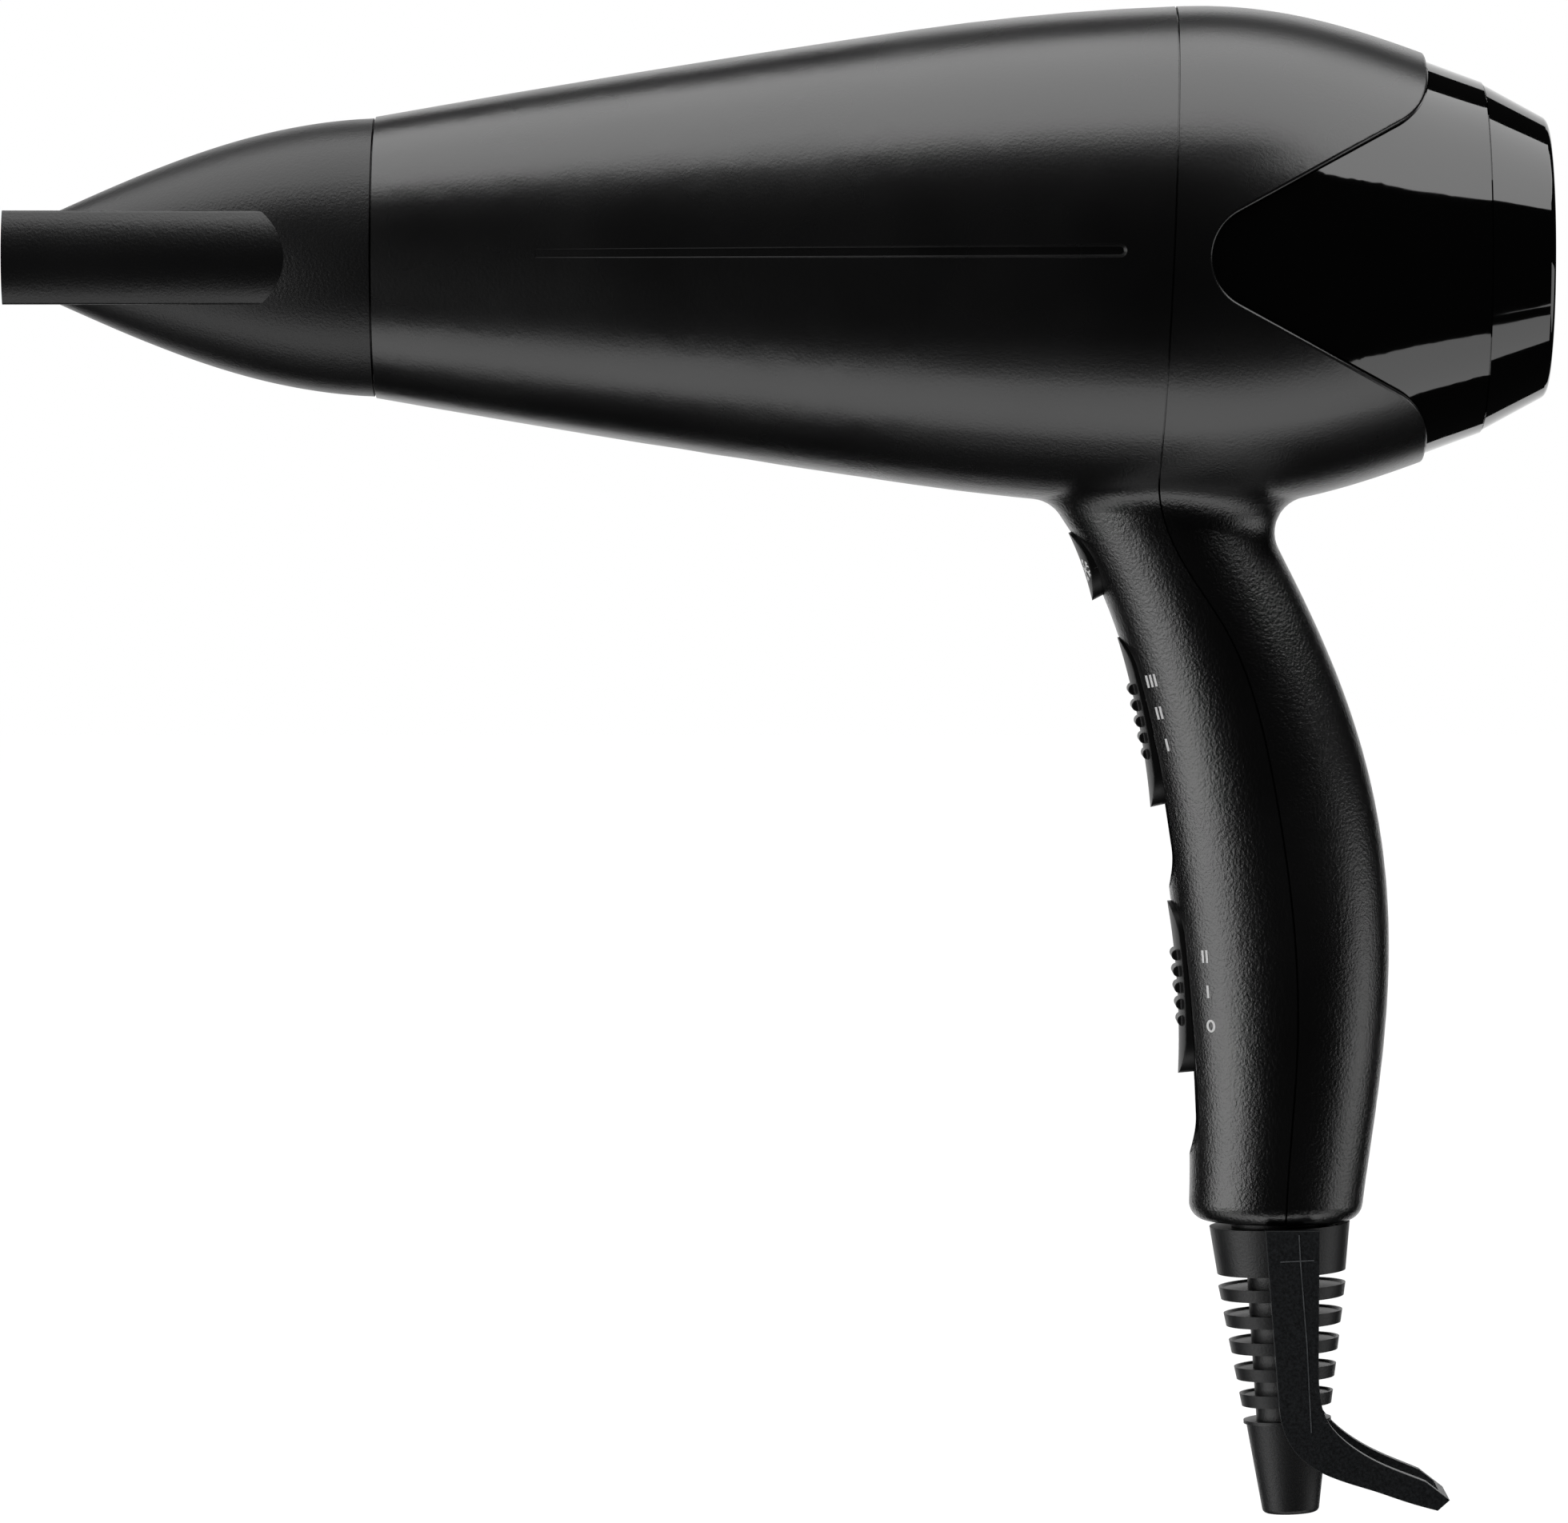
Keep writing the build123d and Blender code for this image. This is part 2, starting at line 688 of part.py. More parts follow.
def intake_shroud():
    """Gloss shroud: a ring with two wedge arms, and a flange under the rear moulding."""
    skin = barrel_solid(SHROUD_STEP) - barrel_solid(SHROUD_STEP + SHROUD_WALL)
    flange_out = WALL + EDGE_CLEAR
    flange = barrel_solid(flange_out) - barrel_solid(SHROUD_STEP + SHROUD_WALL + SHROUD_FLANGE_DROP)
    shape = (skin & notch_region(-EDGE_CLEAR)) + (flange & notch_region(SHROUD_FLANGE))
    return BARREL * shape


def cap_front_r():
    """Outer radius of the cap where it meets the shroud."""
    return TAIL_R - SHROUD_STEP - CAP_STEP


def grille_x():
    """Front face of the intake grille's bars."""
    return CAP_END_X - GRILLE_DEPTH - GRILLE_RECESS


def filter_cap():
    """Gloss cap: tapered ring, push-in spigot and the round intake grille."""
    start = TAIL_X + CAP_GAP
    outer = turned_outline((start, 0), (start, cap_front_r()), (CAP_END_X, CAP_END_R), (CAP_END_X, 0))
    corner = outer.edges().filter_by(GeomType.CIRCLE).sort_by(Axis.X)[-1]
    outer = fillet(corner, CAP_CORNER_R)
    inner_front, inner_rear = cap_front_r() - CAP_WALL, CAP_END_R - CAP_WALL
    inner = turned_outline((start, 0), (start, inner_front), (CAP_END_X, inner_rear), (CAP_END_X, 0))
    spigot_r = TAIL_R - SHROUD_STEP - SHROUD_WALL - SHROUD_FLANGE_DROP - CAP_SPIGOT_CLEAR
    spigot = ring(TAIL_X - CAP_SPIGOT, start + CAP_WALL, spigot_r, spigot_r - CAP_WALL)
    lip = ring(start, start + CAP_WALL, cap_front_r() - CAP_LIP_INSET, spigot_r - CAP_WALL)
    shape = (outer - inner) + spigot + lip
    pitch = inner_rear / GRILLE_BARS
    grille_end = grille_x() + GRILLE_DEPTH
    shape += ring(grille_x(), grille_end, (pitch + GRILLE_BAR_W) / 2)
    for index in range(1, GRILLE_BARS):
        middle = pitch * (index + 0.5)
        shape += ring(grille_x(), grille_end, middle + GRILLE_BAR_W / 2, middle - GRILLE_BAR_W / 2)
    reach = inner_rear + GRILLE_LAP
    spoke = Pos((grille_x() + grille_end) / 2, 0, reach / 2) * Box(GRILLE_DEPTH, GRILLE_BAR_W, reach)
    for copy in around(spoke, GRILLE_SPOKES):
        shape += copy
    return BARREL * shape


def filter_mesh():
    """Round of woven mesh held against the inside of the intake grille."""
    rear = grille_x() - MESH_CLEAR
    slope = (cap_front_r() - CAP_END_R) / (CAP_END_X - TAIL_X - CAP_GAP)
    radius = CAP_END_R - CAP_WALL + slope * (CAP_END_X - rear) - MESH_EDGE_CLEAR
    return BARREL * ring(rear - MESH_T, rear, radius)


def nozzle_cone(inset):
    """Round part of the nozzle, its surface set in by a distance."""
    base = (OUTLET_X - NOZZLE_GAP, 0, NOZZLE_BASE_R - inset)
    middle = (NOZZLE_MID_X, 0, NOZZLE_MID_R - inset)
    nose = (NOZZLE_NOSE_X, 0, SLOT_HEIGHT / 2 - NOZZLE_NOSE_INSET - inset)
    side = Spline(base, middle, nose, tangents=[(-1, 0, NOZZLE_BASE_SLOPE), (-1, 0, NOZZLE_NOSE_SLOPE)])
    return turned(side, Polyline(nose, (nose[0], 0, 0), (base[0], 0, 0), base))


def slot_section(x, inset):
    """Outline of the flat slot at a station: level top and bottom, bowed ends."""
    share = (x - SLOT_ROOT_X) / (NOZZLE_TIP_X - SLOT_ROOT_X)
    half = SLOT_ROOT_HALF + share * (SLOT_TIP_HALF - SLOT_ROOT_HALF) - inset
    edge = half - SLOT_SIDE_BULGE
    rise = SLOT_HEIGHT / 2 - inset
    return make_face([
        Line((x, -edge, rise), (x, edge, rise)),
        ThreePointArc((x, edge, rise), (x, half, 0), (x, edge, -rise)),
        Line((x, edge, -rise), (x, -edge, -rise)),
        ThreePointArc((x, -edge, -rise), (x, -half, 0), (x, -edge, rise)),
    ])


def concentrator_nozzle():
    """Nozzle: a round cone that runs out into a flat slot, with a spigot behind."""
    blade = loft([slot_section(SLOT_ROOT_X, 0), slot_section(NOZZLE_TIP_X, 0)], ruled=True)
    blade = fillet(blade.edges().filter_by(lambda e: abs(e.tangent_at(0).X) > 0.5), SLOT_EDGE_R)
    tip = NOZZLE_TIP_X - NOZZLE_WALL
    duct = loft([slot_section(SLOT_ROOT_X, NOZZLE_WALL), slot_section(tip, NOZZLE_WALL)], ruled=True)
    base = OUTLET_X - NOZZLE_GAP
    spigot_r = BORE_R - NOZZLE_CLEAR
    shape = nozzle_cone(0) + blade - nozzle_cone(NOZZLE_WALL) - duct
    shape += ring(base - NOZZLE_WALL, base, NOZZLE_BASE_R - NOZZLE_FACE_INSET, spigot_r - NOZZLE_WALL)
    shape += ring(base - NOZZLE_WALL, base + NOZZLE_SPIGOT, spigot_r, spigot_r - NOZZLE_WALL)
    return BARREL * shape


def grille_front_x():
    """Front face of the outlet grille, on the step behind the outlet bore."""
    return OUTLET_X + SEAT_LENGTH


def outlet_grille():
    """Guard in the barrel's mouth: rings on crossed bars."""
    front, rear = grille_front_x(), grille_front_x() + OUTLET_GRILLE_T
    shape = ring(front, rear, LINER_FRONT_R, LINER_FRONT_R - OUTLET_RIM)
    for index in range(OUTLET_RINGS):
        radius = OUTLET_RING_FIRST_R + OUTLET_RING_PITCH * index
        shape += ring(front, rear, radius + OUTLET_BAR_W / 2, radius - OUTLET_BAR_W / 2)
    reach = LINER_FRONT_R - OUTLET_RIM / 2
    bar = Pos((front + rear) / 2, 0, reach / 2) * Box(OUTLET_GRILLE_T, OUTLET_BAR_W, reach)
    for copy in around(bar, OUTLET_BARS):
        shape += copy
    return BARREL * shape


def liner_front_x():
    """Front edge of the heat liner, against the outlet grille."""
    return grille_front_x() + OUTLET_GRILLE_T


def liner_r(x):
    """Inner radius of the heat liner at a station."""
    rear_r = DUCT_R - LINER_T
    share = (x - liner_front_x()) / (DUCT_FRONT_X - liner_front_x())
    return LINER_FRONT_R - LINER_T + share * (rear_r - LINER_FRONT_R + LINER_T)


def heat_liner():
    """Rolled cone of mica sheet between the outlet grille and the fan duct."""
    front, rear = liner_front_x(), DUCT_FRONT_X
    return BARREL * turned_outline(
        (front, liner_r(front)), (front, liner_r(front) + LINER_T),
        (rear, liner_r(rear) + LINER_T), (rear, liner_r(rear)),
    )


def coil_stations():
    """Middle of each turn of heater ribbon."""
    return [COIL_FRONT_X + COIL_PITCH * index for index in range(COIL_TURNS)]


def coil_r(x):
    """Distance of a ribbon turn's corners from the axis."""
    return liner_r(x) - COIL_INSET


def mica_blank():
    """One heater board: tapered to the liner, notched where the ribbon crosses it."""
    front, rear = liner_front_x(), BOARD_REAR_X
    high, low = liner_r(rear) - BOARD_CLEAR, liner_r(front) - BOARD_CLEAR
    outline = Polyline((front, 0, low), (rear, 0, high), (rear, 0, -high), (front, 0, -low), close=True)
    board = extrude(make_face(outline), BOARD_T / 2, both=True)
    for x in coil_stations():
        floor, high = coil_r(x) - RIBBON_T - RIBBON_SEAT, liner_r(x)
        notch = Pos(x, 0, floor + high / 2) * Box(RIBBON_W + 2 * RIBBON_CLEAR, 3 * BOARD_T, high)
        board -= notch
        board -= notch.mirror(Plane.XY)
    return board


def half_lap(front_half):
    """Slot along the axis by which the two boards cross."""
    front, rear = liner_front_x(), BOARD_REAR_X
    middle = (front + rear) / 2
    start, end = (front - 1, middle) if front_half else (middle, rear + 1)
    return Pos((start + end) / 2, 0, 0) * Box(end - start, 3 * BOARD_T, BOARD_T + BOARD_LAP_CLEAR)


def upright_board():
    """Upright mica board of the heater."""
    return BARREL * (mica_blank() - half_lap(True))


def level_board():
    """Level mica board of the heater."""
    return BARREL * (mica_blank() - half_lap(False)).rotate(Axis.X, 90)


def heater_winding():
    """Ribbon turns, each a square on the four edges of the boards."""
    turns = []
    for x in coil_stations():
        outer = RegularPolygon(coil_r(x), 4)
        inner = RegularPolygon(coil_r(x) - RIBBON_T, 4)
        turn = extrude(Plane.YZ.offset(x) * (outer - inner), RIBBON_W / 2, both=True)
        turns.append(BARREL * turn)
    return Compound(children=turns)


def thermostat_x():
    """Middle of the cut-out and the fuse along the barrel."""
    return BOARD_REAR_X - THERMOSTAT_L / 2 - THERMOSTAT_EDGE


def thermostat():
    """Bimetal cut-out on the level board, behind the winding."""
    top = BOARD_T / 2 + THERMOSTAT_H
    block = Box(THERMOSTAT_L, THERMOSTAT_W, THERMOSTAT_H)
    blade = Box(THERMOSTAT_BLADE_L, THERMOSTAT_W / 2, THERMOSTAT_BLADE_T)
    shape = Pos(0, 0, top - THERMOSTAT_H / 2) * block + Pos(0, 0, top + THERMOSTAT_BLADE_T / 2) * blade
    return BARREL * Pos(thermostat_x(), THERMOSTAT_Y, 0) * shape


def thermal_fuse():
    """Thermal fuse strapped along the level board."""
    height = BOARD_T / 2 + FUSE_R
    body = rod(thermostat_x(), -THERMOSTAT_Y, height, FUSE_R, FUSE_L)
    lead = rod(thermostat_x(), -THERMOSTAT_Y, height, FUSE_LEAD_R, THERMOSTAT_L)
    return BARREL * (body + lead)


def cup_r():
    """Inner radius of the motor cup."""
    return MOTOR_R + CUSHION_T + 2 * SLIDE_FIT


def fan_duct():
    """Fan duct: tube, clamping flange, guide vanes and the cup that holds the motor."""
    inner = DUCT_R - DUCT_T
    flange_r = CROWN_R - WALL - DUCT_FLANGE_CLEAR
    shape = ring(DUCT_FRONT_X, DUCT_REAR_X, DUCT_R, inner)
    shape += ring(DUCT_FLANGE_X, DUCT_FLANGE_X + DUCT_FLANGE_T, flange_r, inner + DUCT_T / 2)
    hole = rod(DUCT_FLANGE_X, 0, DUCT_SCREW_R, SCREW_R + HOLE_CLEAR, 4 * DUCT_FLANGE_T)
    for copy in around(hole, DUCT_SCREWS):
        shape -= copy
    cup_out = cup_r() + CUP_T
    wall_x = MOTOR_REAR_X + SLIDE_FIT
    shape += ring(DUCT_FRONT_X + CUP_SETBACK, wall_x + CUP_T, cup_out, cup_r())
    shape += ring(wall_x, wall_x + CUP_T, cup_out, BUSH_R + CUP_HOLE_CLEAR)
    span = inner - cup_out + 2 * RUN_IN
    length = MOTOR_REAR_X - DUCT_FRONT_X - 2 * VANE_SETBACK
    middle_x = (DUCT_FRONT_X + MOTOR_REAR_X) / 2
    vane = Rot(0, 0, VANE_TWIST) * Box(length, VANE_T, span)
    vane = Pos(middle_x, 0, cup_out + span / 2 - RUN_IN) * vane
    for copy in around(vane, VANES):
        shape += copy
    return BARREL * shape


def duct_screws():
    """Screws that hold the fan duct to the front moulding."""
    head_x = DUCT_FLANGE_X + DUCT_FLANGE_T
    head = rod(head_x + SCREW_HEAD_H / 2, 0, DUCT_SCREW_R, SCREW_HEAD_R, SCREW_HEAD_H)
    shank = rod(head_x - DUCT_SCREW_L / 2, 0, DUCT_SCREW_R, SCREW_R - SCREW_FIT, DUCT_SCREW_L)
    return Compound(children=[BARREL * copy for copy in around(head + shank, DUCT_SCREWS)])


def motor_cushion():
    """Rubber sleeve between the motor and its cup."""
    front, rear = DUCT_FRONT_X + CUSHION_FRONT_GAP, MOTOR_REAR_X - CUSHION_REAR_GAP
    inner = MOTOR_R + SLIDE_FIT
    return BARREL * ring(front, rear, inner + CUSHION_T, inner)


def motor_can():
    """Motor's drawn steel can, rounded at the rear, open for its two bushes."""
    shape = ring(MOTOR_FRONT_X, MOTOR_REAR_X, MOTOR_R, BUSH_R + BUSH_FIT)
    rear_edges = shape.edges().filter_by(GeomType.CIRCLE).group_by(Axis.X)[-1]
    return BARREL * fillet(rear_edges.sort_by(SortBy.RADIUS)[-1], MOTOR_EDGE_R)


def motor_end_bell():
    """Plastic end of the motor, with a pocket over the shaft's end and two terminals."""
    front = MOTOR_FRONT_X - END_BELL_L
    shape = ring(front, MOTOR_FRONT_X, MOTOR_R - END_BELL_INSET)
    shape -= ring(MOTOR_FRONT_X - END_POCKET, MOTOR_FRONT_X, BUSH_R)
    tab = Box(TERMINAL_L, TERMINAL_L, TERMINAL_H)
    tab = Pos(front + TERMINAL_L / 2, 0, MOTOR_R - TERMINAL_SINK) * tab
    return BARREL * (shape + tab + tab.mirror(Plane.XY))


def shaft_bushes():
    """Two plain bushes that carry the shaft."""
    front = ring(MOTOR_FRONT_X, MOTOR_FRONT_X + BUSH_L, BUSH_R, SHAFT_R + SHAFT_FIT)
    rear = ring(MOTOR_REAR_X - BUSH_L, MOTOR_REAR_X, BUSH_R, SHAFT_R + SHAFT_FIT)
    return Compound(children=[BARREL * front, BARREL * rear])


def rectifier_board():
    """Round board on the motor's end with four diodes."""
    rear = MOTOR_FRONT_X - END_BELL_L
    front = rear - RECTIFIER_T
    shape = ring(front, rear, MOTOR_R - RECTIFIER_INSET)
    diode = Pos(front - DIODE_T / 2 + DIODE_SINK, 0, DIODE_R) * Box(DIODE_T, DIODE_L, DIODE_T)
    for copy in around(diode, DIODES):
        shape += copy
    return BARREL * shape


def motor_shaft():
    """Steel shaft from the motor into the impeller's hub."""
    return BARREL * ring(MOTOR_FRONT_X - SHAFT_FRONT, HUB_REAR_X - HUB_CAP_T, SHAFT_R)


def blade_section(radius, pitch, chord):
    """Section of a fan blade, square to its own radius."""
    lean = radians(pitch)
    middle = (HUB_FRONT_X + HUB_REAR_X) / 2
    plane = Plane(origin=(middle, 0, radius), x_dir=(cos(lean), sin(lean), 0), z_dir=(0, 0, 1))
    return plane * Rectangle(chord, BLADE_T)


def impeller():
    """Axial fan: domed hub and twisted blades that clear the duct."""
    tip_r = DUCT_R - DUCT_T - RUNNING_GAP
    hub = ring(HUB_FRONT_X, HUB_REAR_X, HUB_R)
    hub = fillet(hub.edges().filter_by(GeomType.CIRCLE).sort_by(Axis.X)[-1], HUB_DOME_R)
    root = blade_section(HUB_R - BLADE_SINK, BLADE_ROOT_PITCH, BLADE_ROOT_CHORD)
    tip = blade_section(tip_r + RUN_IN, BLADE_TIP_PITCH, BLADE_TIP_CHORD)
    blade = loft([root, tip], ruled=True) & ring(-tip_r, tip_r, tip_r)
    shape = hub
    for copy in around(blade, BLADES):
        shape += copy
    return BARREL * (shape - ring(HUB_FRONT_X - RUN_IN, HUB_REAR_X - HUB_CAP_T, SHAFT_R + HUB_FIT))


def crowned(length, width, base, rises, sag):
    """Thumb piece blank, rounded across, with its crest's height at head, middle and foot."""
    half_length, half_width = length / 2 + RUN_IN, width / 2 + RUN_IN
    sections = []
    for x, rise in zip((-half_length, 0, half_length), rises):
        left, right = (x, -half_width, rise - sag), (x, half_width, rise - sag)
        sides = Polyline(right, (x, half_width, base), (x, -half_width, base), left)
        sections.append(make_face([ThreePointArc(left, (x, 0, rise), right), sides]))
    return loft(sections)


def knob(place):
    """Slide knob: hollow-faced thumb piece with ribs, and a stem through the floor."""
    base = floor_z() + KNOB_CLEAR
    rises = (KNOB_RISE_TOP, KNOB_RISE_MID, KNOB_RISE_END)
    plan = extrude(Pos(0, 0, base) * SlotOverall(KNOB_L, KNOB_W), CONTROL_REACH)
    shape = crowned(KNOB_L, KNOB_W, base, rises, KNOB_SAG) & plan
    for index in range(KNOB_RIBS):
        x = KNOB_RIB_PITCH * (index - (KNOB_RIBS - 1) / 2)
        rib = Cylinder(KNOB_RIB_R, KNOB_RIB_L, rotation=(90, 0, 0))
        shape += Pos(x, 0, KNOB_RISE_MID + KNOB_RIB_RISE - KNOB_RIB_R) * rib
    shape += local_box(-STEM_L / 2, STEM_L / 2, STEM_W, pad_z() - KNOB_CLEAR, base + RUN_IN)
    return front_frame(place).location * shape


def shutter(place):
    """Plate under the floor that keeps the stem slot closed, with the switch peg."""
    top = pad_z() - KNOB_CLEAR
    reach = shutter_half_length()
    plate = local_box(-reach, reach, SHUTTER_W, top - SHUTTER_T, top)
    peg = local_box(-PEG_L / 2, PEG_L / 2, PEG_W, top - SHUTTER_T - PEG_H, top - SHUTTER_T)
    return front_frame(place).location * (plate + peg)


def slide_switch(place):
    """Slide switch on the rails, with the groove that the peg runs in."""
    top = rail_z()
    middle = KNOB_TRAVEL / 2
    half = SWITCH_L / 2 - SWITCH_END_CLEAR
    width = SHUTTER_W + 2 * KNOB_CLEAR + 2 * RAIL_W
    body = local_box(middle - half, middle + half, width, top - SWITCH_H, top)
    reach = (PEG_L + KNOB_TRAVEL) / 2 + KNOB_CLEAR
    groove_w, floor = PEG_W + 2 * KNOB_CLEAR, top - PEG_H - 2 * KNOB_CLEAR
    body -= local_box(middle - reach, middle + reach, groove_w, floor, top + RUN_IN)
    low, half_tab = top - SWITCH_H, SWITCH_TAB_T / 2
    for index in range(SWITCH_TABS):
        x = middle + SWITCH_TAB_PITCH * (index - (SWITCH_TABS - 1) / 2)
        body += local_box(x - half_tab, x + half_tab, SWITCH_TAB_W, low - SWITCH_TAB_L, low)
    return front_frame(place).location * body


def cool_button():
    """Cold-air button: oval cap with a hollow face, and a flange that keeps it in."""
    skirt = Pos(0, 0, -BUTTON_SKIRT)
    rises = (BUTTON_RISE_TOP, BUTTON_RISE_MID, BUTTON_RISE_END)
    plan = extrude(skirt * Ellipse(BUTTON_L / 2, BUTTON_W / 2), CONTROL_REACH)
    cap = crowned(BUTTON_L, BUTTON_W, -BUTTON_SKIRT, rises, BUTTON_SAG) & plan
    rim = Ellipse(BUTTON_L / 2 + BUTTON_FLANGE, BUTTON_W / 2 + BUTTON_FLANGE)
    flange = extrude(skirt * rim, -BUTTON_FLANGE_T)
    return front_frame(BUTTON_PLACE).location * (cap + flange)


def plunger_top():
    """Height at which the cold-air plunger meets the button."""
    return -BUTTON_SKIRT - BUTTON_FLANGE_T


def cool_plunger():
    """Plunger that the button pushes into its switch."""
    rod = Pos(0, 0, plunger_top() - PLUNGER_L / 2) * Cylinder(PLUNGER_R, PLUNGER_L)
    return front_frame(BUTTON_PLACE).location * rod


def cool_switch():
    """Cold-air switch under the button, bored for its plunger."""
    top = plunger_top() - BUTTON_TRAVEL - COOL_SWITCH_GAP
    body = local_box(-COOL_SWITCH_L / 2, COOL_SWITCH_L / 2, COOL_SWITCH_W, top - COOL_SWITCH_H, top)
    bore = Pos(0, 0, top) * Cylinder(PLUNGER_R + HOLE_CLEAR, 2 * COOL_BORE_DEPTH)
    return front_frame(BUTTON_PLACE).location * (body - bore)


def boot_disc(middle, radius):
    """One disc of the boot, dished on top and drawn in below."""
    top, low = middle - DISC_T / 2, middle + DISC_T / 2
    outline = Polyline(
        (0, top + DISC_DISH),
        (radius - DISC_LIP, top + DISC_DISH),
        (radius - DISC_LIP / 2, top),
        (radius, top),
        (radius - DISC_DRAFT, low),
        (0, low),
        close=True,
    )
    return revolve(Plane.XZ * make_face(outline), Axis.Z)


def cord_boot():
    """Rubber boot: inner flange, collar, discs on a stem and a tapered tail."""
    flange_low = -WALL - BOOT_CLEAR
    flange_top = flange_low - BOOT_FLANGE_T
    tail_start = DISC_FIRST + DISC_PITCH * BOOT_DISCS - DISC_T / 2
    outline = Polyline(
        (0, flange_top),
        (BOOT_FLANGE_R, flange_top),
        (BOOT_FLANGE_R, flange_low),
        (BOOT_NECK_R, flange_low),
        (BOOT_NECK_R, BOOT_CLEAR),
        (COLLAR_TOP_R, BOOT_CLEAR),
        (COLLAR_END_R, COLLAR_L),
        (BOOT_STEM_R, COLLAR_L),
        (BOOT_STEM_R - BOOT_STEM_DRAFT, tail_start),
        (TAIL_LIP_R, tail_start),
        (TAIL_LIP_R, tail_start + TAIL_LIP_T),
        (TAIL_CONE_R, tail_start + TAIL_LIP_T),
        (TAIL_CONE_END_R, BOOT_L),
        (0, BOOT_L),
        close=True,
    )
    shape = revolve(Plane.XZ * make_face(outline), Axis.Z)
    shape = fillet(shape.edges().sort_by(Axis.Z)[-1], TAIL_EDGE_R)
    for index in range(BOOT_DISCS):
        shape += boot_disc(DISC_FIRST + DISC_PITCH * index, DISC_FIRST_R - DISC_TAPER * index)
    shape -= Pos(0, 0, BOOT_L / 2) * Cylinder(CORD_R, 2 * BOOT_L)
    beside = loop_side(LOOP_CLEAR) - loop_block(LOOP_ARM_T + LOOP_CLEAR)
    return boot_plane().location * shape - beside - loop_tongues(LOOP_CLEAR)


def loop_top_z():
    """Upper end of the loop's arms, just under the heel."""
    return HEEL_Z + HEEL_TRIM - LOOP_HEEL_GAP


def loop_tongues(grow):
    """Square tongues by which the arms are keyed into the boot's collar."""
    inner = LOOP_TOP_HALF - LOOP_ARM_T
    side = LOOP_TONGUE + 2 * grow
    bar = Box(side, 2 * inner + LOOP_TONGUE_L, side)
    core = Box(2 * LOOP_TONGUE, 2 * (inner - LOOP_TONGUE_L - grow), 2 * LOOP_TONGUE)
    return Pos(LOOP_MID_X, 0, loop_top_z() - LOOP_TONGUE_DROP) * (bar - core)


def loop_side(grow):
    """Side outline of the loop, straight arms that sweep to the rear, grown by a distance."""
    top = loop_top_z()
    rear_bend = (LOOP_REAR_X, 0, LOOP_REAR_BEND_Z)
    lower = Spline(LOOP_FRONT_BEND, *LOOP_SOLE, LOOP_TOE, tangents=[LOOP_FRONT_RUN, LOOP_TOE_RUN])
    upper = Spline(LOOP_HEEL, *LOOP_INSTEP, rear_bend, tangents=[LOOP_HEEL_RUN, (0, 0, 1)])
    straight = Polyline(rear_bend, (LOOP_REAR_X, 0, top), (LOOP_FRONT_X, 0, top), LOOP_FRONT_BEND)
    face = make_face([lower, Polyline(LOOP_TOE, LOOP_TIP, LOOP_HEEL), upper, straight])
    if grow:
        face = offset(face, grow)
    return extrude(face, 2 * LOOP_TOP_HALF, both=True)


def loop_block(shrink):
    """Outline of the loop from the front and from above, set in by a distance."""
    top, bend, tip = LOOP_TOP_HALF - shrink, LOOP_BEND_HALF - shrink, LOOP_TIP_HALF - shrink
    z_top = loop_top_z() + RUN_IN
    x_front, x_tip = -LOOP_END_X, LOOP_END_X - LOOP_END_SHARE * shrink
    front = Polyline((-top, z_top), (top, z_top), (bend, LOOP_BEND_Z), (-bend, LOOP_BEND_Z), close=True)
    plan = Polyline(
        (x_front, bend),
        (LOOP_BEND_X, bend),
        (x_tip, tip),
        (x_tip, -tip),
        (LOOP_BEND_X, -bend),
        (x_front, -bend),
        close=True,
    )
    arms = extrude(Plane.YZ * make_face(front), SPAN / 4, both=True)
    foot = extrude(Pos(0, 0, LOOP_LOW_Z) * make_face(plan), LOOP_BEND_Z - LOOP_LOW_Z)
    return arms + foot


def hang_loop():
    """Rubber loop: two arms beside the boot, closed by a crossbar at the rear."""
    arms = loop_side(0) & (loop_block(0) - loop_block(LOOP_ARM_T))
    return arms + loop_tongues(0)


def cord_clamp():
    """Bar that grips the cord against the rear moulding's bosses."""
    x = clamp_face_x()
    bar = Pos(x - CLAMP_T / 2, 0, CLAMP_Z) * Box(CLAMP_T, 2 * CLAMP_SCREW_Y + 2 * BOSS_R, CLAMP_W)
    saddle = Pos(HEEL_X, 0, CLAMP_Z) * Cylinder(CORD_R + HOLE_CLEAR, 2 * CLAMP_W)
    for y in (CLAMP_SCREW_Y, -CLAMP_SCREW_Y):
        bar -= rod(x, y, CLAMP_Z, SCREW_R + HOLE_CLEAR, 4 * CLAMP_T)
    return bar - saddle


def clamp_screws():
    """Two screws of the cord clamp."""
    face = clamp_face_x() - CLAMP_T
    screws = []
    for y in (CLAMP_SCREW_Y, -CLAMP_SCREW_Y):
        head = rod(face - SCREW_HEAD_H / 2, y, CLAMP_Z, SCREW_HEAD_R, SCREW_HEAD_H)
        shank = rod(face + CLAMP_SCREW_L / 2, y, CLAMP_Z, SCREW_R - SCREW_FIT, CLAMP_SCREW_L)
        screws.append(head + shank)
    return Compound(children=screws)


